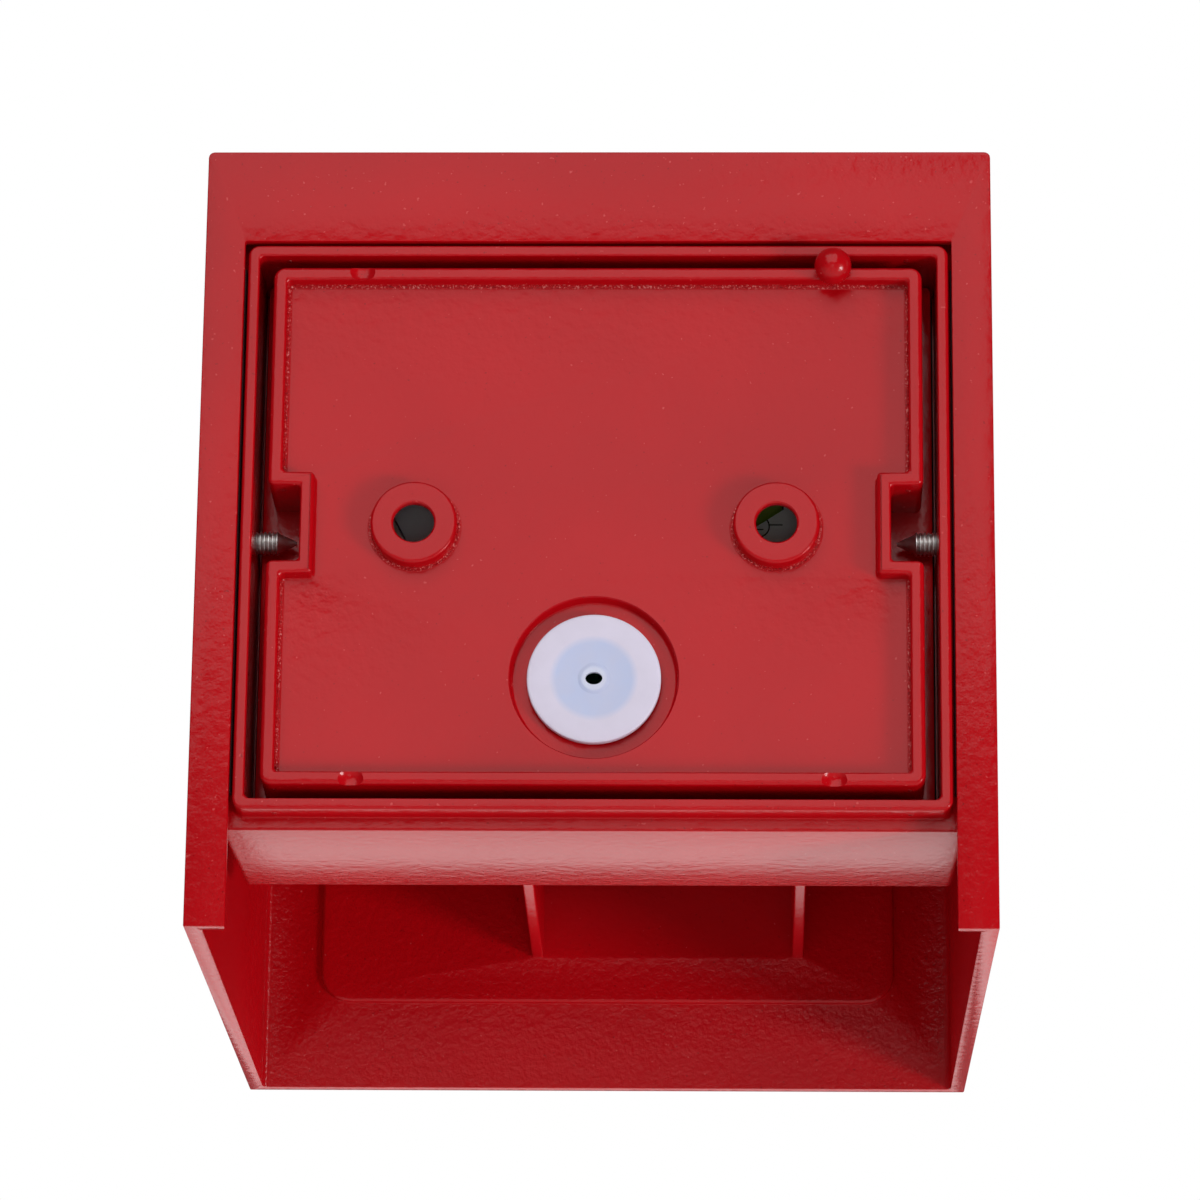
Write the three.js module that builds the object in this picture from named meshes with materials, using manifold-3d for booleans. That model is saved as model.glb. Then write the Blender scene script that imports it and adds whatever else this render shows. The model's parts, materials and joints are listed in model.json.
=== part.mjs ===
// Manual call point: a cast housing on a cast back plate, with a latching palm push-button on
// its front, under a deep cast hood that slides up over the housing.
// Millimetres, +Z up. The wall is the plane y = 0, the front looks along -Y, and the origin is
// midway between the two wall fixings.
import * as THREE from "three";
import { mergeVertices } from "three/addons/utils/BufferGeometryUtils.js";
import Module from "manifold-3d";

const wasm = await Module();
wasm.setup();

// ---------------------------------------------------------------- driving dimensions
const gap = 0.3; // air between two pieces that touch in the real thing
const runningGap = 0.6; // air between two pieces that slide past each other
const roundSteps = 32; // sides of a medium round
const fineSteps = 20; // sides of a small round

// wall fixings
const fixingSpacing = 60;
const fixingHole = 6.8;
const fixingBoss = 14.3;
const fixingSeat = 1.6; // metal under the wall side of a boss, which is hollow from the front
const fixingHollow = 11.2;

// back plate
const plateWidth = 108.6;
const plateHeight = 90.6;
const plateDepth = 16;
const plateRim = 2.3;
const plateCorner = 2;
const floorRecess = 3;
const floorThickness = 3;
const sealLipReach = 1.9; // how far the sealing lip stands out beyond the back plate's sides
const sealLipThickness = 2;
const notchHeight = 13.2;
const notchDepth = 5.4;
const notchWall = 2.3;
const dimpleSpacing = 78.8;
const dimpleWidth = 4.2;
const dimpleDepth = 0.9;
const earthBoss = 8;
const earthBossHeight = 3;
const earthBossX = 34;
const earthBossZ = -30;

// cable entry
const entryDrop = 25.95; // below the fixings
const entryRecess = 27.8;
const entryRecessDepth = 2.3;
const entryPad = 33; // round pad in front of the recess, which keeps the metal thick
const entryPadHeight = 2;
const entryHole = 16.4;
const grommetFlange = 22.1;
const grommetFlangeThickness = 1.4;
const grommetInnerFlange = 20;
const grommetMembrane = 12;
const grommetMembraneThickness = 0.9;
const grommetHole = 2.8;

// housing
const grooveWidth = 2.5; // between the back plate and the housing's rim
const rimThickness = 1.9;
const rimStep = 4.6; // from the rim's edge to the ledge behind it
const ledgeWidth = 2.3;
const housingCorner = 3;
const housingDepth = 42; // from the wall to the front face
const housingFrontWall = 3;
const housingDraft = 1.65; // degrees
const wallRelief = 0.4; // how far the housing and the hood stay off the wall
const gasketThickness = 2.4;
const gasketWidth = 2.4;
const sealLandWidth = 3.1;

// side clamp screws, which hold the housing on the back plate
const clampScrew = 4;
const clampScrewDepth = 11.3; // from the wall to the axis
const clampConeLength = 3;
const clampBite = 1.2; // air left between the cone's tip and the notch's wall
const clampSocket = 2;
const clampSocketDepth = 2.2;
const clampRecess = 0.5;

// hood
const hoodWidth = 132;
const hoodHeight = 135.6;
const hoodDepth = 112;
const hoodRise = 66.35; // from the fixings to the hood's top
const hoodWallBack = 3;
const hoodWallFront = 2.5;
const hoodTaper = 1.75; // how much each side and the roof lean in over the depth
const hoodFrontThickness = 2.2;
const flangeThickness = 2;
const flangeHeadGap = 0.7; // over the housing's rim
const labelPanelWidth = 103.4;
const labelPanelMargin = 15.7; // above and below the panel
const labelPanelDepth = 1;
const labelPanelCorner = 5.5;
const labelThickness = 0.6;
const ribThickness = 2;
const ribBottom = -45.25;
const ribClearance = 8; // from the ribs' rear edge to the housing's front
const hoodTravel = 70;
const toeHeight = 4;
const toeReach = 5.5;
const stopHead = 9;
const stopHeadHeight = 5;
const stopShank = 5;
const stopShankLength = 2.4;
const bufferRound = 10;
const bufferSpacing = 70;
const bufferDepth = 24; // from the wall to the axis
const glideWidth = 1.7;
const glideLength = 92;

// push-button
const buttonX = -10.9;
const panelHole = 22.6;
const collarTube = 22;
const collarFlange = 30;
const collarHeight = 7;
const collarBore = 15;
const legendSide = 39;
const legendThickness = 0.8;
const panelSealThickness = 1.2;
const ringNutOuter = 30;
const ringNutThickness = 2.6;
const stemRound = 10;
const stemGuideLength = 5.5;
const headRound = 40;
const headSideRoom = 2.5; // between the head and the rib on each side of it
const headThickness = 15;
const headRimThickness = 5;
const headSocketDepth = 3.5;
const pressTravel = 4.5;
const pressClearance = 1; // left under the head when it is pressed in
const pressBarLength = 27;
const pressBarHeight = 8;
const pressBarThickness = 2;
const spigotRound = 6;
const clipRound = 9;
const clipThickness = 0.8;
const springWire = 1;
const springTurns = 5;
const lockRound = 9;
const lockLength = 9.6;
const lockSlotLength = 6;
const lockSlotWidth = 1.3;
const lockSlotDepth = 3;
const lockTail = 4;
const lockTailLength = 3;

// status lamp
const lampInset = 6; // from the board's end to the lamp's axis
const lampHole = 8;
const lampFlange = 11;
const lampFlangeThickness = 1.6;
const lampLens = 7;
const lampLensHeight = 2.4;
const lampNutOuter = 12;
const lampNutThickness = 2.4;
const ledRound = 5;

// circuit board and what is on it
const boardInset = 11.3; // from the back plate's side to the board's end
const boardHeight = 46;
const boardThickness = 1.6;
const boardScrewInset = 4.5;
const pillarRound = 7;
const pillarHole = 3;
const boardScrewHead = 5.5;
const boardScrewHeadHeight = 2.2;
const boardScrewShank = 2.4;
const boardScrewLength = 6;
const switchWidth = 5.8;
const switchLength = 12.8;
const switchHeight = 6.5;
const switchSpread = 9; // from the button's axis to each switch's middle
const plungerRound = 2.4;
const plungerStroke = 1;
const plungerProud = 1.3;
const plungerSocket = 2;
const coverRoom = 10.6; // from the left notch's wall to the cover
const coverHeight = 30;
const coverThickness = 3.5;
const coverLean = 6; // the right end leans out past the plug's slanted side, 1 in 2
const terminalPitch = 5.08;
const terminalCount = 6;
const terminalHeight = 10;
const terminalDepth = 10;
const terminalInset = 5; // from the cover's left end
const terminalBottom = 4.2;
const terminalChamferWidth = 6;
const terminalChamferHeight = 4;
const terminalScrewRound = 3.2;
const terminalScrewSink = 2.4;
const plugWidth = 7;
const plugRoom = 8; // from the plug to the right notch's wall
const plugHeight = 12;
const plugDepth = 7;
const resistorRound = 2.4;
const resistorLength = 6.5;
const resistorLead = 0.8;

// ---------------------------------------------------------------- places worked out from them
const degrees = Math.PI / 180;
const rimBack = -wallRelief;
const ledgeY = rimBack - rimStep;
const rimHalfX = plateWidth / 2 + grooveWidth + rimThickness;
const rimHalfZ = plateHeight / 2 + grooveWidth + rimThickness - 0.3;
const bodyHalfX = rimHalfX + ledgeWidth;
const bodyHalfZ = rimHalfZ + ledgeWidth;
const housingFront = -housingDepth;
const housingInset = (housingDepth + ledgeY) * Math.tan(housingDraft * degrees);
const innerFront = housingFront + housingFrontWall;
const sealLandY = -plateDepth - gap - gasketThickness - gap;
const cavityHalfX = rimHalfX - rimThickness;
const cavityHalfZ = rimHalfZ - rimThickness;
const floorBack = -floorRecess;
const floorFront = -floorRecess - floorThickness;
const hoodTop = hoodRise;
const hoodBottom = hoodRise - hoodHeight;
const hoodBack = -wallRelief;
const hoodFront = hoodBack - hoodDepth;
const hoodInnerFront = hoodFront + hoodFrontThickness;
const flangeInnerX = rimHalfX + runningGap;
const flangeInnerTop = rimHalfZ + flangeHeadGap;
const padInner = hoodInnerFront + labelPanelDepth;
const ribRear = housingFront - ribClearance;
const ribReach = headRound / 2 + headSideRoom + ribThickness / 2;
const ribXs = [buttonX - ribReach, buttonX + ribReach];
const legendFront = housingFront - gap - legendThickness;
const collarRear = legendFront - gap - panelSealThickness - gap;
const collarFront = collarRear - collarHeight;
const headRear = collarFront - pressClearance - pressTravel;
const headFront = headRear - headThickness;
const collarEnd = innerFront + gap + ringNutThickness + gap;
const barFront = collarEnd + gap;
const barRear = barFront + pressBarThickness;
const switchFront = barRear + pressTravel + 2 * gap;
const boardFront = switchFront + switchHeight + gap;
const boardBack = boardFront + boardThickness;
const notchWallX = plateWidth / 2 - notchDepth - notchWall;
const boardHalfX = plateWidth / 2 - boardInset;
const boardScrewX = boardHalfX - boardScrewInset;
const boardScrewZ = boardHeight / 2 - boardScrewInset;
const lampX = boardHalfX - lampInset;
const plugRight = notchWallX - plugRoom;
const coverLeft = -notchWallX + coverRoom;
const coverRight = plugRight - plugWidth - runningGap + coverLean;
const terminalLeft = coverLeft + terminalInset;
const terminalRight = terminalLeft + terminalPitch * terminalCount;

// ---------------------------------------------------------------- materials
function finish(color, roughness, metalness = 0) {
  return new THREE.MeshStandardMaterial({ color, roughness, metalness });
}
const redPaint = finish(0xb3242a, 0.45);
const steel = finish(0xa9abad, 0.3, 1);
const brass = finish(0xb9a05a, 0.35, 1);
const blackRubber = finish(0x17171a, 0.8);
const silicone = finish(0xcfc8de, 0.4);
const nylon = finish(0xe6e3da, 0.5);
const blackPlastic = finish(0x1d1e20, 0.45);
const whitePlate = finish(0xf1f0ec, 0.5);
const greyPlastic = finish(0x6f747b, 0.55);
const greenPlastic = finish(0x8fbf2a, 0.45);
const boardGreen = finish(0x1f5c3a, 0.5);
const redLens = finish(0xd8301c, 0.15);
const resistorTan = finish(0xc9a878, 0.6);

// ---------------------------------------------------------------- solids
function solid(geometry) {
  const bare = geometry.index ? geometry.toNonIndexed() : geometry.clone();
  bare.deleteAttribute("normal");
  bare.deleteAttribute("uv");
  const merged = mergeVertices(bare, 1e-4);
  const mesh = new wasm.Mesh({
    numProp: 3,
    vertProperties: merged.attributes.position.array,
    triVerts: new Uint32Array(merged.index.array),
  });
  return new wasm.Manifold(mesh);
}

function join(first, ...others) {
  return others.reduce((all, one) => all.add(one), first);
}

function cut(first, ...others) {
  return others.reduce((rest, one) => rest.subtract(one), first);
}

function piece(name, shape, material) {
  const made = shape.getMesh();
  const geometry = new THREE.BufferGeometry();
  geometry.setAttribute("position", new THREE.BufferAttribute(made.vertProperties, 3));
  geometry.setIndex(new THREE.BufferAttribute(made.triVerts, 1));
  geometry.computeVertexNormals();
  const mesh = new THREE.Mesh(geometry, material);
  mesh.name = name;
  return mesh;
}

// A box between two corners.
function block(x0, x1, y0, y1, z0, z1) {
  const geometry = new THREE.BoxGeometry(x1 - x0, y1 - y0, z1 - z0);
  geometry.translate((x0 + x1) / 2, (y0 + y1) / 2, (z0 + z1) / 2);
  return solid(geometry);
}

// A round bar along Y, from yBack forward to yFront (the smaller y).
function barY(diameter, yBack, yFront, x = 0, z = 0, steps = roundSteps, frontDiameter = diameter) {
  const height = yBack - yFront;
  const geometry = new THREE.CylinderGeometry(diameter / 2, frontDiameter / 2, height, steps);
  geometry.translate(x, (yBack + yFront) / 2, z);
  return solid(geometry);
}

// A round bar along X, which may end in another diameter at x1.
function barX(diameter, x0, x1, y, z, steps = fineSteps, endDiameter = diameter) {
  const geometry = new THREE.CylinderGeometry(endDiameter / 2, diameter / 2, x1 - x0, steps);
  geometry.rotateZ(-Math.PI / 2);
  geometry.translate((x0 + x1) / 2, y, z);
  return solid(geometry);
}

// A round bar along Z.
function barZ(diameter, z0, z1, x, y, steps = fineSteps) {
  const geometry = new THREE.CylinderGeometry(diameter / 2, diameter / 2, z1 - z0, steps);
  geometry.rotateX(Math.PI / 2);
  geometry.translate(x, y, (z0 + z1) / 2);
  return solid(geometry);
}

// A washer round the Y axis.
function ringY(outer, inner, yBack, yFront, x = 0, z = 0, steps = roundSteps) {
  return cut(barY(outer, yBack, yFront, x, z, steps), barY(inner, yBack + 1, yFront - 1, x, z, steps));
}

// An outline in X and Z, extruded along Y.
function extrudeY(shape, yBack, yFront, curveSegments = 2) {
  const options = { depth: yBack - yFront, bevelEnabled: false, curveSegments };
  const geometry = new THREE.ExtrudeGeometry(shape, options);
  geometry.rotateX(Math.PI / 2);
  geometry.translate(0, yBack, 0);
  return geometry;
}

function roundedShape(x0, x1, z0, z1, radius) {
  const shape = new THREE.Shape();
  shape.moveTo(x0 + radius, z0);
  shape.lineTo(x1 - radius, z0);
  shape.absarc(x1 - radius, z0 + radius, radius, -Math.PI / 2, 0);
  shape.lineTo(x1, z1 - radius);
  shape.absarc(x1 - radius, z1 - radius, radius, 0, Math.PI / 2);
  shape.lineTo(x0 + radius, z1);
  shape.absarc(x0 + radius, z1 - radius, radius, Math.PI / 2, Math.PI);
  shape.lineTo(x0, z0 + radius);
  shape.absarc(x0 + radius, z0 + radius, radius, Math.PI, 1.5 * Math.PI);
  return shape;
}

// A block with round corners, seen from the front.
function slab(halfX, z0, z1, radius, yBack, yFront, x = 0) {
  return solid(extrudeY(roundedShape(x - halfX, x + halfX, z0, z1, radius), yBack, yFront));
}

// Draws the front of a geometry in, evenly along Y: the sides by insetX, the top by insetTop
// and the bottom by insetBottom.
function leanIn(geometry, yBack, yFront, insetX, insetTop, insetBottom) {
  const spots = geometry.attributes.position;
  for (let i = 0; i < spots.count; i++) {
    const share = (yBack - spots.getY(i)) / (yBack - yFront);
    const x = spots.getX(i);
    const z = spots.getZ(i);
    spots.setX(i, x - Math.sign(x) * insetX * share);
    spots.setZ(i, z - (z > 0 ? insetTop : -insetBottom) * share);
  }
  return geometry;
}

// A closed ring of revolution round the Y axis. The profile is a list of [radius, y].
function turned(profile, x = 0, z = 0, steps = roundSteps) {
  const points = profile.map(([radius, y]) => new THREE.Vector2(radius, y));
  const geometry = new THREE.LatheGeometry(points, steps);
  geometry.translate(x, 0, z);
  return solid(geometry);
}

// ---------------------------------------------------------------- hood
function hoodShell() {
  const halfX = hoodWidth / 2;
  const skin = roundedShape(-halfX, halfX, hoodBottom, hoodTop, 1);
  let shell = solid(leanIn(extrudeY(skin, hoodBack, hoodFront), hoodBack, hoodFront, hoodTaper, hoodTaper, 0));
  const innerX = halfX - hoodWallBack;
  const innerTop = hoodTop - hoodWallBack;
  const innerBack = hoodBack - flangeThickness;
  const innerTaper = hoodTaper - (hoodWallBack - hoodWallFront);
  const hollow = roundedShape(-innerX, innerX, hoodBottom - 5, innerTop, 1.5);
  const hollowGeometry = extrudeY(hollow, innerBack, hoodInnerFront);
  shell = cut(shell, solid(leanIn(hollowGeometry, innerBack, hoodInnerFront, innerTaper, innerTaper, 0)));
  shell = cut(shell, block(-flangeInnerX, flangeInnerX, innerBack - 1, 1, hoodBottom - 5, flangeInnerTop));
  const panelBottom = hoodBottom + labelPanelMargin;
  const panelTop = hoodTop - hoodTaper - labelPanelMargin;
  const panelHalf = labelPanelWidth / 2;
  const pad = slab(panelHalf, panelBottom, panelTop, labelPanelCorner, padInner, hoodInnerFront - 0.5);
  const recess = slab(panelHalf, panelBottom, panelTop, labelPanelCorner, hoodFront + labelPanelDepth, hoodFront - 1);
  shell = join(cut(shell, recess), pad);
  for (const x of ribXs) {
    const roof = innerTop - innerTaper + 0.5;
    const rib = block(x - ribThickness / 2, x + ribThickness / 2, padInner - 0.5, ribRear, ribBottom, roof);
    const toe = block(
      x - ribThickness / 2,
      x + ribThickness / 2,
      ribRear - 2,
      ribRear + toeReach,
      ribBottom,
      ribBottom + toeHeight,
    );
    shell = join(shell, rib, toe);
  }
  return piece("hood_shell", shell, redPaint);
}

function instructionPlate() {
  const bottom = hoodBottom + labelPanelMargin + runningGap;
  const top = hoodTop - hoodTaper - labelPanelMargin - runningGap;
  const back = hoodFront + labelPanelDepth - gap;
  const half = labelPanelWidth / 2 - runningGap;
  const corner = labelPanelCorner - runningGap;
  return piece("instruction_plate", slab(half, bottom, top, corner, back, back - labelThickness), whitePlate);
}

// ---------------------------------------------------------------- housing
function housingShell() {
  const bodyOutline = roundedShape(-bodyHalfX, bodyHalfX, -bodyHalfZ, bodyHalfZ, housingCorner);
  const bodyGeometry = extrudeY(bodyOutline, ledgeY, housingFront);
  let shell = solid(leanIn(bodyGeometry, ledgeY, housingFront, housingInset, housingInset, housingInset));
  shell = join(shell, slab(rimHalfX, -rimHalfZ, rimHalfZ, rimThickness, rimBack, ledgeY - 1));
  const corner = 1.2;
  const landX = cavityHalfX - sealLandWidth;
  const landZ = cavityHalfZ - sealLandWidth;
  shell = cut(
    shell,
    slab(cavityHalfX, -cavityHalfZ, cavityHalfZ, corner, 1, sealLandY),
    slab(landX, -landZ, landZ, corner, 1, innerFront),
  );
  for (const x of [-boardScrewX, boardScrewX]) {
    for (const z of [-boardScrewZ, boardScrewZ]) {
      shell = join(shell, barY(pillarRound, boardFront - gap, innerFront - 1, x, z, fineSteps));
      shell = cut(shell, barY(pillarHole, 0, innerFront + 4, x, z, fineSteps));
    }
  }
  const stopHole = stopShank + 2 * gap;
  for (const x of ribXs) {
    shell = cut(shell, barY(stopHole, innerFront + 1, housingFront - 1, x, stopZ(), fineSteps));
  }
  const clampHole = clampScrew + 2 * gap;
  return piece(
    "housing_shell",
    cut(
      shell,
      barY(panelHole, innerFront + 1, housingFront - 1, buttonX, 0),
      barY(lampHole, innerFront + 1, housingFront - 1, lampX, 0, fineSteps),
      barX(clampHole, -bodyHalfX - 1, -cavityHalfX + 1, -clampScrewDepth, 0),
      barX(clampHole, cavityHalfX - 1, bodyHalfX + 1, -clampScrewDepth, 0),
    ),
    redPaint,
  );
}

// The height of the screws that stop the hood: its ribs' toes meet their heads from below.
function stopZ() {
  return ribBottom + toeHeight + hoodTravel + gap + stopHead / 2;
}

function liftStopScrew(name, x) {
  const rear = housingFront - gap;
  const head = barY(stopHead, rear, rear - stopHeadHeight, x, stopZ(), fineSteps);
  const shank = barY(stopShank, rear + stopShankLength, rear - 1, x, stopZ(), fineSteps);
  const socket = barY(3, rear - stopHeadHeight + 2.5, rear - stopHeadHeight - 1, x, stopZ(), 6);
  return piece(name, cut(join(head, shank), socket), steel);
}

// A rubber buffer on the housing's top, which the hood's roof comes down on.
function hoodBuffer(name, x) {
  const draft = Math.tan(housingDraft * degrees);
  const foot = bodyHalfZ - (bufferDepth - bufferRound / 2 + ledgeY) * draft + gap;
  const roofLean = (hoodTaper - (hoodWallBack - hoodWallFront)) / hoodDepth;
  const head = hoodTop - hoodWallBack - (bufferDepth + bufferRound / 2) * roofLean - gap;
  return piece(name, barZ(bufferRound, foot, head, x, -bufferDepth), blackRubber);
}

// A strip on the ledge beside the rim, which the hood's flange slides on.
function glideStrip(name, side) {
  const x = side * (rimHalfX + ledgeWidth / 2 + gap / 4);
  const front = ledgeY + gap;
  const back = hoodBack - flangeThickness - gap;
  const half = glideWidth / 2;
  return piece(name, block(x - half, x + half, front, back, -glideLength / 2, glideLength / 2), nylon);
}

// A set screw through the housing's side, whose cone reaches into the back plate's notch.
function clampScrewPiece(name, side) {
  const draft = Math.tan(housingDraft * degrees);
  const outer = bodyHalfX - (clampScrewDepth + ledgeY) * draft - clampRecess;
  const tip = plateWidth / 2 - notchDepth + clampBite;
  const coneStart = tip + clampConeLength;
  const y = -clampScrewDepth;
  const body = barX(clampScrew, coneStart, outer, y, 0);
  const cone = barX(0.5, tip, coneStart + 0.01, y, 0, fineSteps, clampScrew);
  const socket = barX(clampSocket, outer - clampSocketDepth, outer + 1, y, 0, 6);
  const made = cut(join(body, cone), socket);
  return piece(name, side > 0 ? made : made.mirror([1, 0, 0]), steel);
}

function bodyGasket() {
  const back = -plateDepth - gap;
  const front = back - gasketThickness;
  const outerX = cavityHalfX - gap;
  const outerZ = cavityHalfZ - gap;
  const ring = slab(outerX, -outerZ, outerZ, 1, back, front);
  const inside = slab(outerX - gasketWidth, -outerZ + gasketWidth, outerZ - gasketWidth, 1, back + 1, front - 1);
  return piece("body_gasket", cut(ring, inside), blackRubber);
}

// ---------------------------------------------------------------- back plate
function backPlate() {
  const halfX = plateWidth / 2;
  const halfZ = plateHeight / 2;
  const lip = sealLipReach;
  let plate = slab(halfX, -halfZ, halfZ, plateCorner, 0, -plateDepth);
  plate = join(
    plate,
    slab(halfX + lip, -halfZ - lip, halfZ + lip, 1, -plateDepth + sealLipThickness, -plateDepth),
  );
  const innerX = halfX - plateRim;
  const innerZ = halfZ - plateRim;
  const tray = slab(innerX, -innerZ, innerZ, 1, floorFront, -plateDepth - 1);
  const recess = slab(innerX, -innerZ, innerZ, 1, 1, floorBack);
  plate = cut(plate, tray, recess);
  const pocketHalf = notchHeight / 2;
  const pocketFloor = -plateDepth + sealLipThickness;
  for (const side of [-1, 1]) {
    const mouth = side * (halfX + 1);
    const inner = side * (halfX - notchDepth);
    const walled = side * (halfX - notchDepth - notchWall);
    const wallX = [side * halfX, walled].sort((a, b) => a - b);
    const pocketX = [mouth, inner].sort((a, b) => a - b);
    const walls = pocketHalf + notchWall;
    plate = join(plate, block(wallX[0], wallX[1], -plateDepth, 0, -walls, walls));
    plate = cut(plate, block(pocketX[0], pocketX[1], pocketFloor, 1, -pocketHalf, pocketHalf));
    const bossX = (side * fixingSpacing) / 2;
    plate = join(plate, barY(fixingBoss, 0, floorFront, bossX, 0));
    plate = cut(
      plate,
      barY(fixingHole, 1, floorFront - 1, bossX, 0),
      barY(fixingHollow, -fixingSeat, floorFront - 1, bossX, 0),
    );
  }
  plate = join(plate, barY(entryPad, floorBack - 0.5, floorFront - entryPadHeight, 0, -entryDrop));
  plate = join(plate, barY(earthBoss, floorBack - 1, floorFront - earthBossHeight, earthBossX, earthBossZ, fineSteps));
  plate = cut(
    plate,
    barY(4.6, floorFront + 1, floorFront - earthBossHeight - 1, earthBossX, earthBossZ, fineSteps),
    barY(entryRecess, 1, floorBack - entryRecessDepth, 0, -entryDrop),
    barY(entryHole + 2 * gap, 1, floorFront - entryPadHeight - 1, 0, -entryDrop),
  );
  const radius = (dimpleWidth * dimpleWidth) / (8 * dimpleDepth) + dimpleDepth / 2;
  for (const x of [-dimpleSpacing / 2, dimpleSpacing / 2]) {
    for (const z of [-halfZ + plateRim / 3, halfZ - plateRim / 3]) {
      const ball = new THREE.SphereGeometry(radius, 16, 10);
      ball.translate(x, radius - dimpleDepth, z);
      plate = cut(plate, solid(ball));
    }
  }
  return piece("back_plate", plate, redPaint);
}

function cableGrommet() {
  const flangeFront = floorBack - entryRecessDepth + gap;
  const flangeBack = flangeFront + grommetFlangeThickness;
  const innerBack = floorFront - entryPadHeight - gap;
  const innerFrontY = innerBack - 1.5;
  const hole = grommetHole / 2;
  const membrane = grommetMembrane / 2;
  const profile = [
    [hole, flangeBack],
    [hole, flangeBack - grommetMembraneThickness],
    [membrane, flangeBack - grommetMembraneThickness],
    [membrane + 0.6, innerFrontY],
    [grommetInnerFlange / 2, innerFrontY],
    [grommetInnerFlange / 2, innerBack],
    [entryHole / 2, innerBack],
    [entryHole / 2, flangeFront],
    [grommetFlange / 2, flangeFront],
    [grommetFlange / 2, flangeBack - 0.3],
    [grommetFlange / 2 - 0.3, flangeBack],
    [hole, flangeBack],
  ];
  return piece("cable_grommet", turned(profile, 0, -entryDrop, 36), silicone);
}

function earthScrew() {
  const seat = floorFront - earthBossHeight - gap;
  const head = barY(7.5, seat, seat - 2.4, earthBossX, earthBossZ, fineSteps);
  const shank = barY(4, seat + 2.8, seat - 1, earthBossX, earthBossZ, fineSteps);
  const slot = block(earthBossX - 4, earthBossX + 4, seat - 3, seat - 1.5, earthBossZ - 0.5, earthBossZ + 0.5);
  return piece("earth_screw", cut(join(head, shank), slot), brass);
}

// ---------------------------------------------------------------- push-button
function legendPlate() {
  const half = legendSide / 2;
  const plate = slab(half, -half, half, 3, housingFront - gap, legendFront, buttonX);
  const hole = barY(panelHole, housingFront + 1, legendFront - 1, buttonX, 0);
  return piece("legend_plate", cut(plate, hole), whitePlate);
}

function panelSeal() {
  const back = legendFront - gap;
  const ring = ringY(collarFlange - 1, panelHole, back, back - panelSealThickness, buttonX, 0);
  return piece("panel_seal", ring, blackRubber);
}

function buttonCollar() {
  const flange = barY(collarFlange, collarRear, collarFront, buttonX, 0, roundSteps, collarFlange - 2.4);
  const tube = barY(collarTube, collarEnd, collarRear - 1, buttonX, 0);
  const guideFront = collarEnd - stemGuideLength;
  const bore = barY(collarBore, guideFront, collarFront - 1, buttonX, 0);
  const guide = barY(stemRound + 2 * gap, collarEnd + 1, guideFront - 1, buttonX, 0);
  const groove = barY(stemRound + 4, collarEnd - 1.6, collarEnd - 3.6, buttonX, 0);
  return piece("button_collar", cut(join(flange, tube), bore, guide, groove), blackPlastic);
}

function stemSeal() {
  const middle = collarEnd - 2.6;
  const section = 0.7;
  const radius = stemRound / 2 + gap + section;
  const profile = [];
  for (let i = 0; i <= 8; i++) {
    const angle = (i / 8) * 2 * Math.PI;
    profile.push([radius + section * Math.cos(angle), middle + section * Math.sin(angle)]);
  }
  profile[8] = profile[0];
  return piece("stem_seal", turned(profile, buttonX, 0, fineSteps), blackRubber);
}

function ringNut() {
  const back = innerFront + gap + ringNutThickness;
  let nut = ringY(ringNutOuter, collarTube + 2 * gap, back, innerFront + gap, buttonX, 0);
  for (let i = 0; i < 6; i++) {
    const angle = (i / 6) * 2 * Math.PI;
    const x = buttonX + (Math.cos(angle) * ringNutOuter) / 2;
    const z = (Math.sin(angle) * ringNutOuter) / 2;
    nut = cut(nut, barY(3, back + 1, innerFront - 1, x, z, 16));
  }
  return piece("ring_nut", nut, steel);
}

function returnSpring() {
  const start = collarEnd - stemGuideLength - gap - springWire / 2;
  const end = headRear + gap + springWire / 2;
  const radius = (stemRound + collarBore) / 4;
  const steps = springTurns * 12;
  class Helix extends THREE.Curve {
    getPoint(share, target = new THREE.Vector3()) {
      const angle = share * springTurns * 2 * Math.PI;
      const y = start + (end - start) * share;
      return target.set(buttonX + radius * Math.cos(angle), y, radius * Math.sin(angle));
    }
  }
  const section = new THREE.Shape();
  section.absarc(0, 0, springWire / 2, 0, 2 * Math.PI);
  const options = { steps, extrudePath: new Helix(), curveSegments: 2, bevelEnabled: false };
  return piece("return_spring", solid(new THREE.ExtrudeGeometry(section, options)), steel);
}

function palmHead() {
  const rim = headRear - headRimThickness;
  const radius = headRound / 2;
  const profile = [[0, headRear], [radius - 1.5, headRear], [radius, headRear - 1.5], [radius, rim]];
  const domeSteps = 6;
  const lockFace = lockRound / 2 + 2.5;
  for (let i = 1; i <= domeSteps; i++) {
    const angle = (i / domeSteps) * (Math.PI / 2);
    const out = lockFace + (radius - lockFace) * Math.cos(angle);
    profile.push([out, rim - (rim - headFront) * Math.sin(angle)]);
  }
  profile.push([0, headFront]);
  profile.reverse();
  let head = turned(profile, buttonX, 0, 36);
  const socketFront = headRear - headSocketDepth;
  const lockRear = headFront + lockLength + gap;
  head = cut(
    head,
    barY(stemRound + 2 * gap, headRear + 1, socketFront, buttonX, 0),
    barY(lockRound + 2 * gap, lockRear, headFront - 1, buttonX, 0),
    barY(lockTail + 2 * gap, headRear + 1, headFront - 1, buttonX, 0, fineSteps),
  );
  return piece("palm_head", head, blackPlastic);
}

function pushStem() {
  const front = headRear - headSocketDepth + gap;
  const spigotEnd = barRear + clipThickness + 1.3;
  const stem = barY(stemRound, collarEnd, front, buttonX, 0);
  const spigot = barY(spigotRound, spigotEnd, collarEnd - 1, buttonX, 0, fineSteps);
  const bore = barY(lockTail + 2, front + lockTailLength + 2, front - 1, buttonX, 0, fineSteps);
  return piece("push_stem", cut(join(stem, spigot), bore), steel);
}

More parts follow.
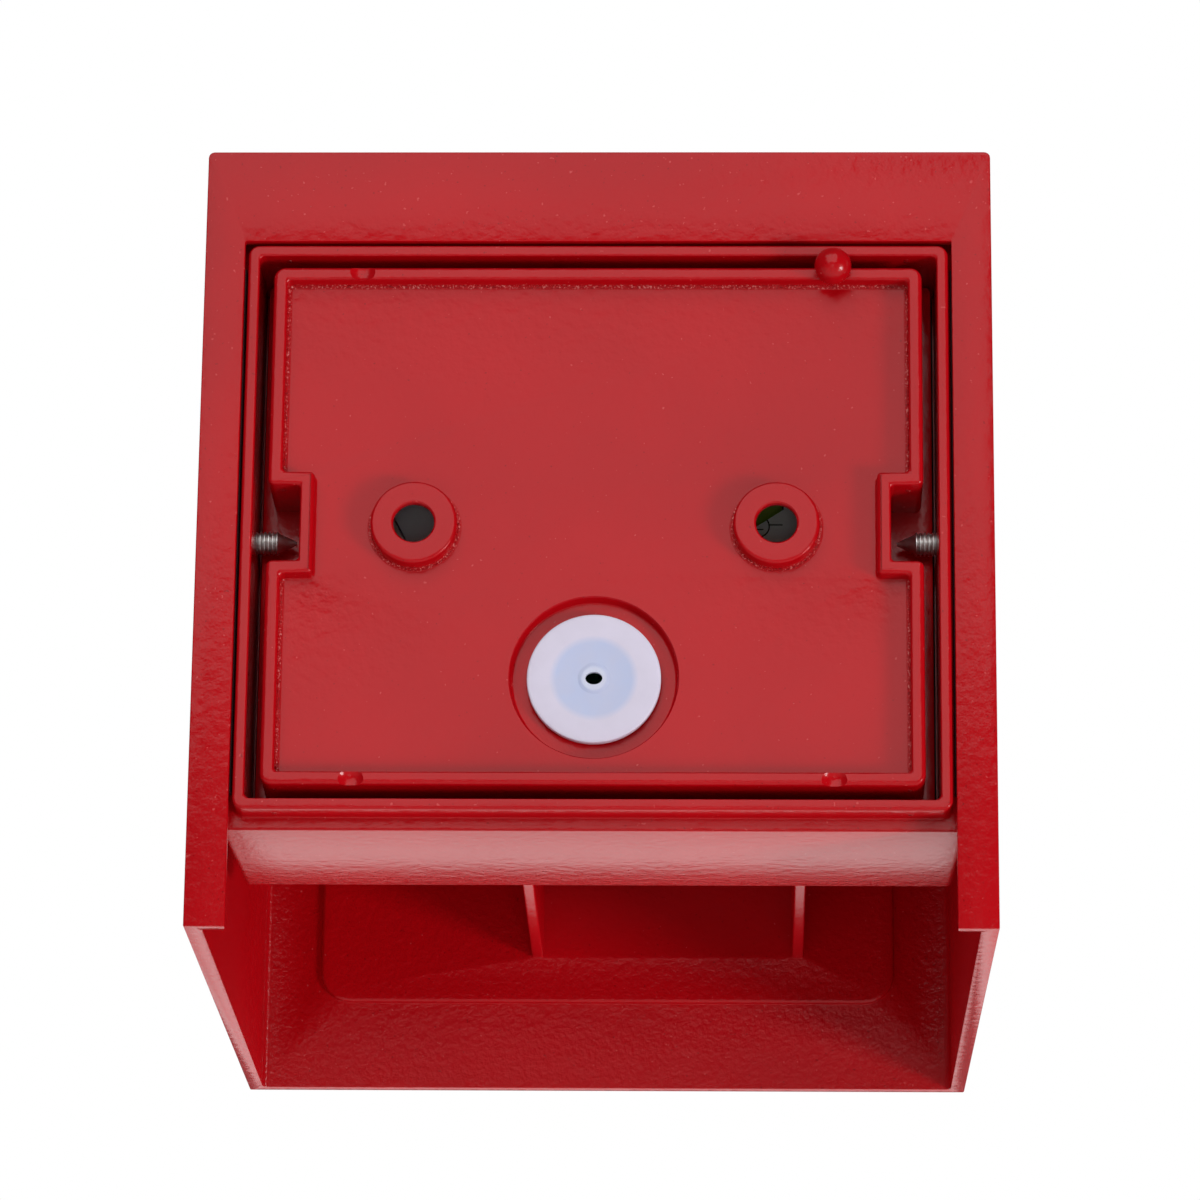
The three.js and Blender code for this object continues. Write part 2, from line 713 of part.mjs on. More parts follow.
function pressBar() {
  const halfLength = pressBarLength / 2;
  const halfHeight = pressBarHeight / 2;
  const bar = slab(halfLength, -halfHeight, halfHeight, 2, barRear, barFront, buttonX);
  const hole = barY(spigotRound + 2 * gap, barRear + 1, barFront - 1, buttonX, 0, fineSteps);
  return piece("press_bar", cut(bar, hole), greyPlastic);
}

function stemClip() {
  const front = barRear + gap;
  const ring = ringY(clipRound, spigotRound + 2 * gap, front + clipThickness, front, buttonX, 0, fineSteps);
  const mouth = block(buttonX - 1.5, buttonX + 1.5, front - 1, front + 2, -clipRound, 0);
  return piece("stem_clip", cut(ring, mouth), steel);
}

function lockBarrel() {
  const front = headFront + 0.2;
  const rear = headFront + lockLength;
  const body = barY(lockRound, rear, front, buttonX, 0, fineSteps);
  const tail = barY(lockTail, rear + lockTailLength, rear - 1, buttonX, 0, fineSteps);
  const half = lockSlotWidth / 2;
  const reach = lockSlotLength / 2;
  const slot = block(buttonX - half, buttonX + half, front - 1, front + lockSlotDepth, -reach, reach);
  return piece("lock_barrel", cut(join(body, tail), slot), steel);
}

// ---------------------------------------------------------------- status lamp
function lampHolder() {
  const seat = housingFront - gap;
  const flange = barY(lampFlange, seat, seat - lampFlangeThickness, lampX, 0, fineSteps);
  const tube = barY(lampHole - 2 * gap, innerFront + 5, seat - 1, lampX, 0, fineSteps);
  const bore = barY(ledRound + 2 * gap, innerFront + 6, seat - lampFlangeThickness - 1, lampX, 0, fineSteps);
  return piece("lamp_holder", cut(join(flange, tube), bore), steel);
}

function lampLensPiece() {
  const seat = housingFront - 2 * gap - lampFlangeThickness;
  const profile = [[0, seat - lampLensHeight]];
  for (let i = 1; i <= 6; i++) {
    const angle = (i / 6) * (Math.PI / 2);
    const out = (lampLens / 2) * Math.sin(angle);
    profile.push([out, seat - lampLensHeight * Math.cos(angle)]);
  }
  profile[6] = [lampLens / 2, seat - 0.4];
  profile.push([lampLens / 2, seat], [0, seat]);
  return piece("lamp_lens", turned(profile, lampX, 0, fineSteps), redLens);
}

function lampNut() {
  const back = innerFront + gap + lampNutThickness;
  const hexagon = barY(lampNutOuter, back, innerFront + gap, lampX, 0, 6);
  const thread = barY(lampHole, back + 1, innerFront - 1, lampX, 0, fineSteps);
  return piece("lamp_nut", cut(hexagon, thread), steel);
}

function lampLed() {
  const foot = boardFront - gap;
  const base = barY(ledRound + 0.2, foot, foot - 1, lampX, 0, 20);
  const stalk = barY(ledRound, foot - 0.5, housingFront + 1, lampX, 0, 20);
  return piece("lamp_led", join(base, stalk), redLens);
}

// ---------------------------------------------------------------- circuit board
function circuitBoard() {
  const halfZ = boardHeight / 2;
  let board = slab(boardHalfX, -halfZ, halfZ, 2, boardBack, boardFront);
  for (const x of [-boardScrewX, boardScrewX]) {
    for (const z of [-boardScrewZ, boardScrewZ]) {
      board = cut(board, barY(pillarHole, boardBack + 1, boardFront - 1, x, z, fineSteps));
    }
  }
  return piece("circuit_board", board, boardGreen);
}

function boardScrew(name, x, z) {
  const seat = boardBack + gap;
  const head = barY(boardScrewHead, seat + boardScrewHeadHeight, seat, x, z, 20);
  const shank = barY(boardScrewShank, seat + 1, seat - boardScrewLength, x, z, 16);
  const slot = block(x - 3.5, x + 3.5, seat + 1.2, seat + boardScrewHeadHeight + 1, z - 0.4, z + 0.4);
  return piece(name, cut(join(head, shank), slot), steel);
}

// The grey cover behind the board, cut away round the terminal block.
function boardCover() {
  const halfX = (coverRight - coverLeft) / 2;
  const halfZ = coverHeight / 2;
  const front = boardBack + gap;
  const cover = slab(halfX, -halfZ, halfZ, 2, front + coverThickness, front, coverLeft + halfX);
  const room = solid(extrudeY(terminalOutline(gap, halfZ + 1), front + coverThickness + 1, front - 1));
  const start = coverRight - coverLean;
  const past = new THREE.Shape();
  past.moveTo(start, -halfZ - 1);
  past.lineTo(coverRight + 1, -halfZ - 1);
  past.lineTo(coverRight + 1, 2 * coverLean + 2);
  past.lineTo(start, 0);
  const plugSide = solid(extrudeY(past, front + coverThickness + 1, front - 1));
  return piece("board_cover", cut(cover, room, plugSide), greyPlastic);
}

// The terminal block seen from behind, with air round it, up to a height.
function terminalOutline(air, top) {
  const left = terminalLeft - air;
  const right = terminalRight + air;
  const bottom = terminalBottom - air;
  const outline = new THREE.Shape();
  outline.moveTo(left + terminalChamferWidth, bottom);
  outline.lineTo(right, bottom);
  outline.lineTo(right, top);
  outline.lineTo(left, top);
  outline.lineTo(left, bottom + terminalChamferHeight);
  return outline;
}

function terminalBlock() {
  const top = terminalBottom + terminalHeight;
  const front = boardBack + gap;
  const back = front + terminalDepth;
  let made = solid(extrudeY(terminalOutline(0, top), back, front));
  for (let i = 0; i < terminalCount; i++) {
    const x = terminalLeft + terminalPitch * (i + 0.5);
    const z = terminalBottom + terminalHeight / 2 + 1;
    const well = barY(terminalScrewRound + 2 * gap, back + 1, back - terminalScrewSink - 2.2, x, z, 16);
    const mouth = block(x - 1.7, x + 1.7, front + 2, front + 5.2, top - 4, top + 1);
    made = cut(made, well, mouth);
  }
  return piece("terminal_block", made, greenPlastic);
}

function terminalScrew(index) {
  const x = terminalLeft + terminalPitch * (index + 0.5);
  const z = terminalBottom + terminalHeight / 2 + 1;
  const back = boardBack + gap + terminalDepth - terminalScrewSink + 1.2;
  const screw = barY(terminalScrewRound, back, back - 2.6, x, z, 16);
  const slot = block(x - 2, x + 2, back - 0.8, back + 1, z - 0.3, z + 0.3);
  return piece("terminal_screw_" + (index + 1), cut(screw, slot), steel);
}

function lampPlug() {
  const x0 = plugRight - plugWidth;
  const front = boardBack + gap;
  const outline = new THREE.Shape();
  outline.moveTo(x0, -plugHeight / 2);
  outline.lineTo(plugRight, -plugHeight / 2);
  outline.lineTo(plugRight, plugHeight / 2);
  outline.lineTo(x0 + 3, plugHeight / 2);
  outline.lineTo(x0, 0);
  return piece("lamp_plug", solid(extrudeY(outline, front + plugDepth, front)), nylon);
}

function lineResistor() {
  const y = boardBack + gap + resistorRound / 2;
  const z = -coverHeight / 2 - 3.2;
  const body = barX(resistorRound, -resistorLength / 2, resistorLength / 2, y, z, 16);
  const leads = barX(resistorLead, -resistorLength / 2 - 3, resistorLength / 2 + 3, y, z, 10);
  return piece("line_resistor", join(body, leads), resistorTan);
}

function switchX(side) {
  return buttonX + side * switchSpread;
}

function microSwitch(name, side) {
  const x = switchX(side);
  const halfX = switchWidth / 2;
  const halfZ = switchLength / 2;
  const rear = boardFront - gap;
  const body = block(x - halfX, x + halfX, switchFront, rear, -halfZ, halfZ);
  const well = barY(plungerRound + 2 * gap, switchFront + plungerSocket + plungerStroke + gap, switchFront - 1, x, 0, 20);
  return piece(name, cut(body, well), blackPlastic);
}

function switchPlunger(name, side) {
  const x = switchX(side);
  const tip = switchFront - plungerProud;
  return piece(name, barY(plungerRound, switchFront + plungerSocket, tip, x, 0, 20), redLens);
}

// ---------------------------------------------------------------- the whole assembly
const part = new THREE.Group();
part.add(
  hoodShell(),
  instructionPlate(),
  housingShell(),
  liftStopScrew("lift_stop_screw_left", ribXs[0]),
  liftStopScrew("lift_stop_screw_right", ribXs[1]),
  hoodBuffer("hood_buffer_left", -bufferSpacing / 2),
  hoodBuffer("hood_buffer_right", bufferSpacing / 2),
  glideStrip("glide_strip_left", -1),
  glideStrip("glide_strip_right", 1),
  clampScrewPiece("clamp_screw_left", -1),
  clampScrewPiece("clamp_screw_right", 1),
  bodyGasket(),
  backPlate(),
  cableGrommet(),
  earthScrew(),
  legendPlate(),
  panelSeal(),
  buttonCollar(),
  stemSeal(),
  ringNut(),
  returnSpring(),
  palmHead(),
  pushStem(),
  pressBar(),
  stemClip(),
  lockBarrel(),
  lampHolder(),
  lampLensPiece(),
  lampNut(),
  lampLed(),
  circuitBoard(),
  boardScrew("board_screw_1", -boardScrewX, -boardScrewZ),
  boardScrew("board_screw_2", boardScrewX, -boardScrewZ),
  boardScrew("board_screw_3", -boardScrewX, boardScrewZ),
  boardScrew("board_screw_4", boardScrewX, boardScrewZ),
  boardCover(),
  terminalBlock(),
  lampPlug(),
  lineResistor(),
  microSwitch("micro_switch_left", -1),
  microSwitch("micro_switch_right", 1),
  switchPlunger("switch_plunger_left", -1),
  switchPlunger("switch_plunger_right", 1),
);
for (let i = 0; i < terminalCount; i++) {
  part.add(terminalScrew(i));
}

export default part;
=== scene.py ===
"""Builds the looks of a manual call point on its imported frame.

A cast housing sits on a cast back plate, with a latching palm button on its front, under a deep
cast hood that slides up. Metres; the wall is the plane y = 0, the front looks along -Y, +Z is up.
"""

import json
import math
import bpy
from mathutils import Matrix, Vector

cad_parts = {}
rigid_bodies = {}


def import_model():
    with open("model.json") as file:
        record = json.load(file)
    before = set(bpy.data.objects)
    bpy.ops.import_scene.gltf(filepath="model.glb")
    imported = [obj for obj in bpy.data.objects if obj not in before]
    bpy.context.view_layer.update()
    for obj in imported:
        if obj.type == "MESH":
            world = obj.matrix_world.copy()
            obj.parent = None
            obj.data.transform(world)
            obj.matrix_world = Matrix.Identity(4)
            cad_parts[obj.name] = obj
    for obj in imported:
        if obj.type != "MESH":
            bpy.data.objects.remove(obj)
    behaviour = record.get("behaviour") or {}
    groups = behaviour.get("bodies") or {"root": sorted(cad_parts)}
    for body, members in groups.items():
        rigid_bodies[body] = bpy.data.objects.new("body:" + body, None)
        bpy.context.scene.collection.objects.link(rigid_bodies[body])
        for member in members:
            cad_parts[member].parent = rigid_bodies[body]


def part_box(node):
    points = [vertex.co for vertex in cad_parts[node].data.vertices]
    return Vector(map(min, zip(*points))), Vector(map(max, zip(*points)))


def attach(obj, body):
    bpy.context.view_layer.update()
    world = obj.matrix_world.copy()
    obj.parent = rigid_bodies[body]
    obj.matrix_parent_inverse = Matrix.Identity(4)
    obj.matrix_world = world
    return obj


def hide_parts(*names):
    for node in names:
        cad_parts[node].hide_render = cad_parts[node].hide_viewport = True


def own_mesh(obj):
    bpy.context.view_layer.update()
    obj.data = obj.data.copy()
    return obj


bl_info = {
    "name": "Manual Call Point",
    "version": (1, 0, 0),
    "blender": (4, 5, 0),
    "location": "View3D > Sidebar > Call Point",
    "description": "Models and paints the pieces of a manual call point on its packed frame",
    "category": "Add Mesh",
}

from contextlib import contextmanager

import bmesh
import bpy
from bpy.props import FloatProperty, FloatVectorProperty, IntProperty, PointerProperty
from mathutils import Vector

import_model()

FULL_TURN = 2 * math.pi
FIXING_X = 0.03  # from the middle to each fixing hole


def mm(value):
    """Millimetres as metres."""
    return value / 1000


def length(title, text, default):
    return FloatProperty(name=title, description=text, default=mm(default), unit="LENGTH", precision=5)


def strength(title, text, default):
    return FloatProperty(name=title, description=text, default=default, min=0)


def colour(title, text, default):
    return FloatVectorProperty(
        name=title, description=text, default=default, subtype="COLOR", size=3, min=0, max=1
    )


# ------------------------------------------------------------------------------ settings
class HoodSizes(bpy.types.PropertyGroup):
    """Sizes of the hood casting."""

    wall: length("Wall", "Thickness of the sides and the roof at the back", 3)
    thinning: length("Thinning", "How much thinner the sides and the roof are at the front", 0.5)
    lean: length("Lean", "How far each side and the roof lean in over the depth", 1.75)
    front: length("Front", "Thickness of the front plate", 2.2)
    flange: length("Flange", "Thickness of the flange at the wall", 2)
    opening_half_width: length("Opening half width", "Half the flange's opening", 59.3)
    opening_top: length("Opening top", "Height of the flange's opening above the fixings", 50.1)
    pad_width: length("Pad width", "Width of the raised pad inside the front plate", 103.4)
    pad_margin: length("Pad margin", "Front plate left above and below the pad", 15.7)
    pad_height: length("Pad height", "How far the pad stands in, and the outer recess goes in", 1)
    pad_corner: length("Pad corner", "Corner radius of the pad", 5.5)
    rib: length("Rib", "Thickness of the two ribs", 2)
    rib_bottom: length("Rib bottom", "Height of the ribs' lower end", -45.25)
    rib_rear: length("Rib rear", "Depth of the ribs' rear edge", -50)
    toe_rear: length("Toe rear", "How far back the ribs' toes reach", -44.5)
    toe_height: length("Toe height", "Height of the ribs' toes", 4)
    outer_corner: length("Outer corner", "Radius of the two upper corners", 1)
    fillet: length("Fillet", "Radius inside the casting's corners", 1.1)
    edge: length("Edge", "Rounding of the casting's free edges", 0.22)


class HousingSizes(bpy.types.PropertyGroup):
    """Sizes of the housing and back plate castings."""

    rim: length("Rim", "Thickness of the housing's rim", 1.9)
    rim_step: length("Rim step", "From the rim's edge to the ledge behind it", 4.6)
    ledge: length("Ledge", "Width of the ledge round the rim", 2.3)
    land_depth: length("Land depth", "Depth of the land that the gasket lies on", 19)
    land: length("Land", "Width of that land", 3.1)
    front: length("Front", "Thickness of the housing's front wall", 3)
    draft: length("Draft", "How far each side leans in over the depth", 1.066)
    corner: length("Corner", "Corner radius of the housing", 1.2)
    rim_corner: length("Rim corner", "Corner radius of the rim", 1.9)
    front_round: length("Front round", "Rounding of the front face's edge", 0.5)
    rim_round: length("Rim round", "Rounding of the rim's edges", 0.55)
    plate_rim: length("Plate rim", "Width of the back plate's rim", 2.3)
    plate_floor: length("Plate floor", "How far the back plate's floor is sunk, and its thickness", 3)
    plate_corner: length("Plate corner", "Corner radius of the back plate", 2)
    lip: length("Lip", "How far the sealing lip stands out", 1.9)
    lip_height: length("Lip height", "Thickness of the sealing lip", 2)
    notch_depth: length("Notch depth", "Depth of the clamp notches", 5.4)
    notch_half: length("Notch half height", "Half the height of the clamp notches", 6.6)
    boss: length("Boss", "Diameter of the fixing bosses", 14.3)
    fixing_hole: length("Fixing hole", "Diameter of the fixing holes", 6.8)
    fixing_seat: length("Fixing seat", "Metal round the fixing holes, in front of a hollow", 1.6)
    entry_recess: length("Entry recess", "Diameter of the recess round the cable entry", 27.8)
    entry_depth: length("Entry depth", "Depth of that recess below the floor", 2.3)
    entry_pad: length("Entry pad", "Diameter of the pad in front of the recess", 33)
    entry_pad_height: length("Entry pad height", "How far that pad stands out", 2)
    entry_hole: length("Entry hole", "Diameter of the cable entry", 17)
    scoop_spacing: length("Scoop spacing", "Distance between the two scoops on each long rim", 78.8)


class Finishes(bpy.types.PropertyGroup):
    """Colours of the finishes."""

    paint: colour("Paint", "Red powder coat", (0.43, 0.001, 0.0045))
    steel: colour("Steel", "Zinc plated steel", (0.66, 0.66, 0.65))
    brass: colour("Brass", "Turned brass", (0.55, 0.40, 0.14))
    rubber: colour("Rubber", "Black rubber", (0.012, 0.012, 0.013))
    silicone: colour("Silicone", "Grommet rubber", (0.66, 0.61, 0.74))
    membrane: colour("Membrane", "Thin middle of the grommet", (0.48, 0.53, 0.74))
    print: colour("Print", "Printed signs on the plates", (0.5, 0.015, 0.02))
    nylon: colour("Nylon", "White nylon of the plug", (0.76, 0.74, 0.68))
    # Painted shade: the glide strips are near black-red so that the gap they sit in, round the hood's flange,
    # looks shaded.
    strips: colour("Strips", "Dark nylon of the glide strips", (0.03, 0.004, 0.006))
    button: colour("Button", "Black moulded plastic", (0.014, 0.014, 0.016))
    plate: colour("Plate", "White printed plate", (0.82, 0.81, 0.77))
    cover: colour("Cover", "Grey cover on the circuit board", (0.78, 0.79, 0.81))
    terminals: colour("Terminals", "Green terminal block", (0.30, 0.52, 0.015))
    board: colour("Board", "Circuit board", (0.012, 0.085, 0.035))
    lamp: colour("Lamp", "Red lamp lens", (0.62, 0.02, 0.015))
    resistor: colour("Resistor", "Resistor lacquer", (0.55, 0.40, 0.20))


class StageSettings(bpy.types.PropertyGroup):
    """Camera, floor and light."""

    camera_place: FloatVectorProperty(
        name="Camera place",
        description="Where the camera stands",
        default=(-0.025362, 0.896502, -0.313157),
        subtype="TRANSLATION",
        precision=5,
    )
    camera_turn: FloatVectorProperty(
        name="Camera turn",
        description="How the camera is turned",
        default=(math.radians(108.4701), math.radians(-0.5586), math.radians(-178.6291)),
        subtype="EULER",
        precision=5,
    )
    lens: FloatProperty(name="Lens", description="Focal length in millimetres", default=172.49, min=1)
    floor_drop: FloatProperty(
        name="Floor drop", description="Floor below the fixings", default=1.5, unit="LENGTH"
    )
    floor_glow: strength("Floor glow", "Light that the pale floor gives off by itself", 0.26)
    surroundings: strength("Surroundings", "How strongly the white surroundings light the object", 0.07)
    rear_power: strength("Rear light", "Watts of the large light above the wall side", 36)
    fill_power: strength("Fill light", "Watts of the light straight behind the wall side", 0.9)
    key_power: strength("Key light", "Watts of the small light low beside the wall side", 18)
    side_power: strength("Side lights", "Watts of each light beside the front", 16)
    low_power: strength("Low light", "Watts of the light under the front", 13)
    round_steps: IntProperty(
        name="Round steps", description="Sides of a turned piece", default=72, min=12, max=128
    )


# ------------------------------------------------------------------------------ modelling
def pick(*pieces):
    """Selects these objects and nothing else; the first one is active."""
    if bpy.context.object and bpy.context.object.mode != "OBJECT":
        bpy.ops.object.mode_set(mode="OBJECT")
    bpy.ops.object.select_all(action="DESELECT")
    for piece in pieces:
        piece.select_set(True)
    bpy.context.view_layer.objects.active = pieces[0] if pieces else None


@contextmanager
def editing(piece):
    """Edit mode on one piece, with nothing selected in it."""
    pick(piece)
    bpy.ops.object.mode_set(mode="EDIT")
    bpy.ops.mesh.select_all(action="DESELECT")
    yield
    bpy.ops.object.mode_set(mode="OBJECT")


def take_all():
    bpy.ops.mesh.select_all(action="SELECT")


def push(step):
    """Extrudes what is selected by a step."""
    bpy.ops.mesh.extrude_region_move(TRANSFORM_OT_translate={"value": step})


def face_out():
    bpy.ops.mesh.normals_make_consistent(inside=False)


def choose(piece, kind, wanted):
    """In edit mode, selects the corners, edges or faces that are wanted."""
    bpy.ops.mesh.select_mode(type=kind)
    bpy.ops.mesh.select_all(action="DESELECT")
    shape = bmesh.from_edit_mesh(piece.data)
    for item in {"VERT": shape.verts, "EDGE": shape.edges, "FACE": shape.faces}[kind]:
        if wanted(item):
            item.select_set(True)
    shape.select_flush_mode()
    bmesh.update_edit_mesh(piece.data)


def middle(item):
    return sum((corner.co for corner in item.verts), Vector()) / len(item.verts)


def runs(edge, axis):
    """True for an edge that runs along an axis: 0, 1 or 2."""
    way = edge.verts[1].co - edge.verts[0].co
    return abs(way[axis]) > 0.99 * way.length


def lies_at(item, y, slack=mm(0.01)):
    """True if every corner of an edge or face is at that depth."""
    return all(abs(corner.co.y - y) < slack for corner in item.verts)


def named(name):
    piece = bpy.context.object
    piece.name = name
    piece.data.name = name
    pick(piece)
    bpy.ops.object.transform_apply(location=True, rotation=True, scale=True)
    return piece


def centre(low, high, axes="xz"):
    """The middle of a box along these axes."""
    return [(getattr(low, axis) + getattr(high, axis)) / 2 for axis in axes]


def block(name, low, high):
    pick()
    spot = [(a + b) / 2 for a, b in zip(low, high)]
    bpy.ops.mesh.primitive_cube_add(size=1, location=spot, scale=[b - a for a, b in zip(low, high)])
    return named(name)


def bar(name, radius, start, end, steps=48):
    """A round bar between two points on a line along one axis."""
    start, end = Vector(start), Vector(end)
    way = end - start
    turn = way.to_track_quat("Z", "Y").to_euler()
    pick()
    bpy.ops.mesh.primitive_cylinder_add(
        vertices=steps, radius=radius, depth=way.length, location=(start + end) / 2, rotation=turn
    )
    return named(name)


def bevel(piece, wanted, width, segments=3):
    """Rounds the wanted edges."""
    with editing(piece):
        choose(piece, "EDGE", wanted)
        bpy.ops.mesh.bevel(
            offset_type="OFFSET", offset=width, segments=segments, affect="EDGES", clamp_overlap=False
        )


def plate(name, half_x, low_z, high_z, corner, back, front, x=0.0, segments=8):
    """A slab with round corners, seen from the front."""
    piece = block(name, (x - half_x, front, low_z), (x + half_x, back, high_z))
    bevel(piece, lambda edge: runs(edge, 1), corner, segments)
    return piece


def draw_in(piece, back, front, sides, top, bottom=0.0):
    """Draws the front face in: the sides by one amount, the top and the bottom by others."""
    with editing(piece):
        centre = (back + front) / 2
        choose(piece, "VERT", lambda corner: corner.co.y < centre)
        shape = bmesh.from_edit_mesh(piece.data)
        xs = [corner.co.x for corner in shape.verts if corner.select]
        zs = [corner.co.z for corner in shape.verts if corner.select]
        half_x = (max(xs) - min(xs)) / 2
        half_z = (max(zs) - min(zs)) / 2
        mid_x = (max(xs) + min(xs)) / 2
        mid_z = (max(zs) + min(zs)) / 2
        scale = (1 - sides / half_x, 1, 1 - (top + bottom) / 2 / half_z)
        bpy.ops.transform.resize(value=scale, center_override=(mid_x, front, mid_z))
        bpy.ops.transform.translate(value=(0, 0, (bottom - top) / 2))


def combine(piece, how, tools):
    for tool in tools:
        pick(piece)
        bpy.ops.object.modifier_add(type="BOOLEAN")
        modifier = piece.modifiers[-1]
        modifier.operation = how
        modifier.solver = "EXACT"
        modifier.object = tool
        bpy.ops.object.modifier_apply(modifier=modifier.name)
        pick(tool)
        bpy.ops.object.delete()
    return piece


def cut(piece, *tools):
    return combine(piece, "DIFFERENCE", tools)


def unite(piece, *tools):
    return combine(piece, "UNION", tools)


def tidy_mesh(piece):
    """Merges doubles and clears flat edges that the cuts left."""
    with editing(piece):
        take_all()
        bpy.ops.mesh.remove_doubles(threshold=mm(0.002))
        bpy.ops.mesh.dissolve_degenerate(threshold=mm(0.001))
        take_all()
        bpy.ops.mesh.dissolve_limited(angle_limit=math.radians(0.3))


def merge_slivers(piece):
    """Merges corners that narrow bevels left almost on top of each other."""
    with editing(piece):
        take_all()
        bpy.ops.mesh.remove_doubles(threshold=mm(0.012))


def soften(piece, width, segments=2, angle=38):
    """Rounds every edge sharper than an angle."""
    pick(piece)
    bpy.ops.object.modifier_add(type="BEVEL")
    modifier = piece.modifiers[-1]
    modifier.width = width
    modifier.segments = segments
    modifier.limit_method = "ANGLE"
    modifier.angle_limit = math.radians(angle)
    modifier.use_clamp_overlap = False
    modifier.miter_outer = "MITER_ARC"
    bpy.ops.object.modifier_apply(modifier=modifier.name)


def eased(profile, radius, steps=4):
    """A profile with each inner corner turned into a small arc."""
    points = [Vector(point) for point in profile]
    made = [points[0]]
    for before, corner, after in zip(points, points[1:], points[2:]):
        first, second = before - corner, after - corner
        if first.length < 1e-9 or second.length < 1e-9:
            continue
        angle = first.angle(second)
        reach = min(radius / math.tan(angle / 2), first.length * 0.45, second.length * 0.45)
        if angle > math.radians(165):
            made.append(corner)
            continue
        start = corner + first.normalized() * reach
        end = corner + second.normalized() * reach
        for step in range(steps + 1):
            share = step / steps
            made.append(start * (1 - share) ** 2 + corner * 2 * share * (1 - share) + end * share**2)
    return made + [points[-1]]


def spun(name, path, offset, steps, axis):
    """A line drawn point by point from an offset, then turned about an axis through the offset."""
    pick()
    bpy.ops.mesh.primitive_plane_add(size=mm(1))
    piece = named(name)
    with editing(piece):
        bpy.ops.mesh.select_mode(type="VERT")
        take_all()
        bpy.ops.mesh.merge(type="CENTER")
        bpy.ops.transform.translate(value=[a + b for a, b in zip(path[0], offset)])
        for here, there in zip(path, path[1:]):
            push([b - a for a, b in zip(here, there)])
        take_all()
        bpy.ops.mesh.spin(steps=steps, angle=FULL_TURN, center=offset, axis=axis)
        take_all()
        bpy.ops.mesh.remove_doubles(threshold=mm(0.001))
        face_out()
    return piece


def turned(name, profile, x=0.0, z=0.0, steps=None):
    """A round piece about a line along Y. The profile is a list of (radius, y)."""
    steps = steps or bpy.context.scene.call_point_stage.round_steps
    return spun(name, [(radius, y, 0) for radius, y in profile], (x, 0, z), steps, (0, 1, 0))


def turned_along_x(name, profile, y, z, steps):
    """A round piece about a line along X. The profile is a list of (radius, x)."""
    return spun(name, [(x, radius, 0) for radius, x in profile], (0, y, z), steps, (1, 0, 0))


def dome(radius, tip, depth, steps):
    """The profile of a round end, from its tip to its full radius."""
    angles = [math.pi / 2 * step / steps for step in range(1, steps + 1)]
    return [(0, tip)] + [(radius * math.sin(angle), tip + depth * (1 - math.cos(angle))) for angle in angles]


def near(edge, x, z, slack=mm(0.05)):
    """True for an edge at that width and height, on either side and above or below."""
    spot = middle(edge)
    return abs(abs(spot.x) - x) < slack and abs(abs(spot.z) - z) < slack


def is_crease(edge):
    """True for an edge between two faces that don't lie flat."""
    return len(edge.link_faces) == 2 and edge.calc_face_angle() > math.radians(30)


def slant(piece, spot, way, corner, shift):
    """Cuts a corner off at a slant: a cut across the slab, then its corner is moved up to it."""
    with editing(piece):
        take_all()
        bpy.ops.mesh.bisect(plane_co=spot, plane_no=way)
        x, z = corner
        choose(piece, "VERT", lambda point: abs(point.co.x - x) < mm(0.01) and abs(point.co.z - z) < mm(0.01))
        bpy.ops.transform.translate(value=shift)


def arrow_up(name, x, z, size, front, back):
    """A flat arrow that points up."""
    pick()
    bpy.ops.mesh.primitive_circle_add(
        vertices=3, radius=size * 0.5, fill_type="NGON", location=(x, back, z), rotation=(math.pi / 2, 0, 0)
    )
    head = named(name)
    with editing(head):
        take_all()
        push((0, front - back, 0))
        take_all()
        face_out()
    half = size * 0.16
    shaft = block("shaft", (x - half, front, z - size * 0.75), (x + half, back, z - size * 0.2))
    unite(head, shaft)
    tidy_mesh(head)
    return head


def merged_copy(node, name):
    """A copy of a CAD node as one closed mesh, which can be shaped."""
    source = bpy.data.objects[node]
    source.hide_set(False)
    pick(source)
    bpy.ops.object.duplicate()
    piece = bpy.context.object
    piece.name = name
    piece.data.name = name
    for key in [key for key in piece.keys() if key.startswith("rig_")]:
        del piece[key]
    bpy.ops.object.parent_clear(type="CLEAR_KEEP_TRANSFORM")
    bpy.ops.mesh.customdata_custom_splitnormals_clear()
    tidy_mesh(piece)
    return piece


def copy_of(piece, name, shift):
    pick(piece)
    bpy.ops.object.duplicate()
    twin = bpy.context.object
    twin.name = name
    twin.data.name = name
    with editing(twin):
        take_all()
        bpy.ops.transform.translate(value=shift)
    return twin


def done(piece, finish, body, nodes, smooth=30):
    """Gives a piece its finish and its body, and hides the nodes that it stands for."""
    pick(piece)
    bpy.ops.object.transform_apply(location=True, rotation=True, scale=True)
    bpy.ops.object.shade_smooth_by_angle(angle=math.radians(smooth))
    piece.data.materials.clear()
    piece.data.materials.append(finish)
    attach(piece, body)
    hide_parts(*nodes)
    return piece


# ------------------------------------------------------------------------------ finishes
def new_finish(name, base, roughness, metallic=0.0):
    """A material with one Principled shader, and its object coordinates."""
    name = f"{name}_finish"
    finish = bpy.data.materials.get(name)
    if finish:
        return finish, None, None, None
    finish = bpy.data.materials.new(name)
    finish.use_nodes = True
    nodes = finish.node_tree.nodes
    shader = nodes["Principled BSDF"]
    shader.inputs["Base Color"].default_value = (*base, 1)
    shader.inputs["Roughness"].default_value = roughness
    shader.inputs["Metallic"].default_value = metallic
    place = nodes.new("ShaderNodeTexCoord")
    return finish, finish.node_tree, shader, place.outputs["Object"]


def noise(tree, place, scale, detail=2.0, roughness=0.5):
    node = tree.nodes.new("ShaderNodeTexNoise")
    node.inputs["Scale"].default_value = scale
    node.inputs["Detail"].default_value = detail
    node.inputs["Roughness"].default_value = roughness
    tree.links.new(place, node.inputs["Vector"])
    return node.outputs["Fac"]


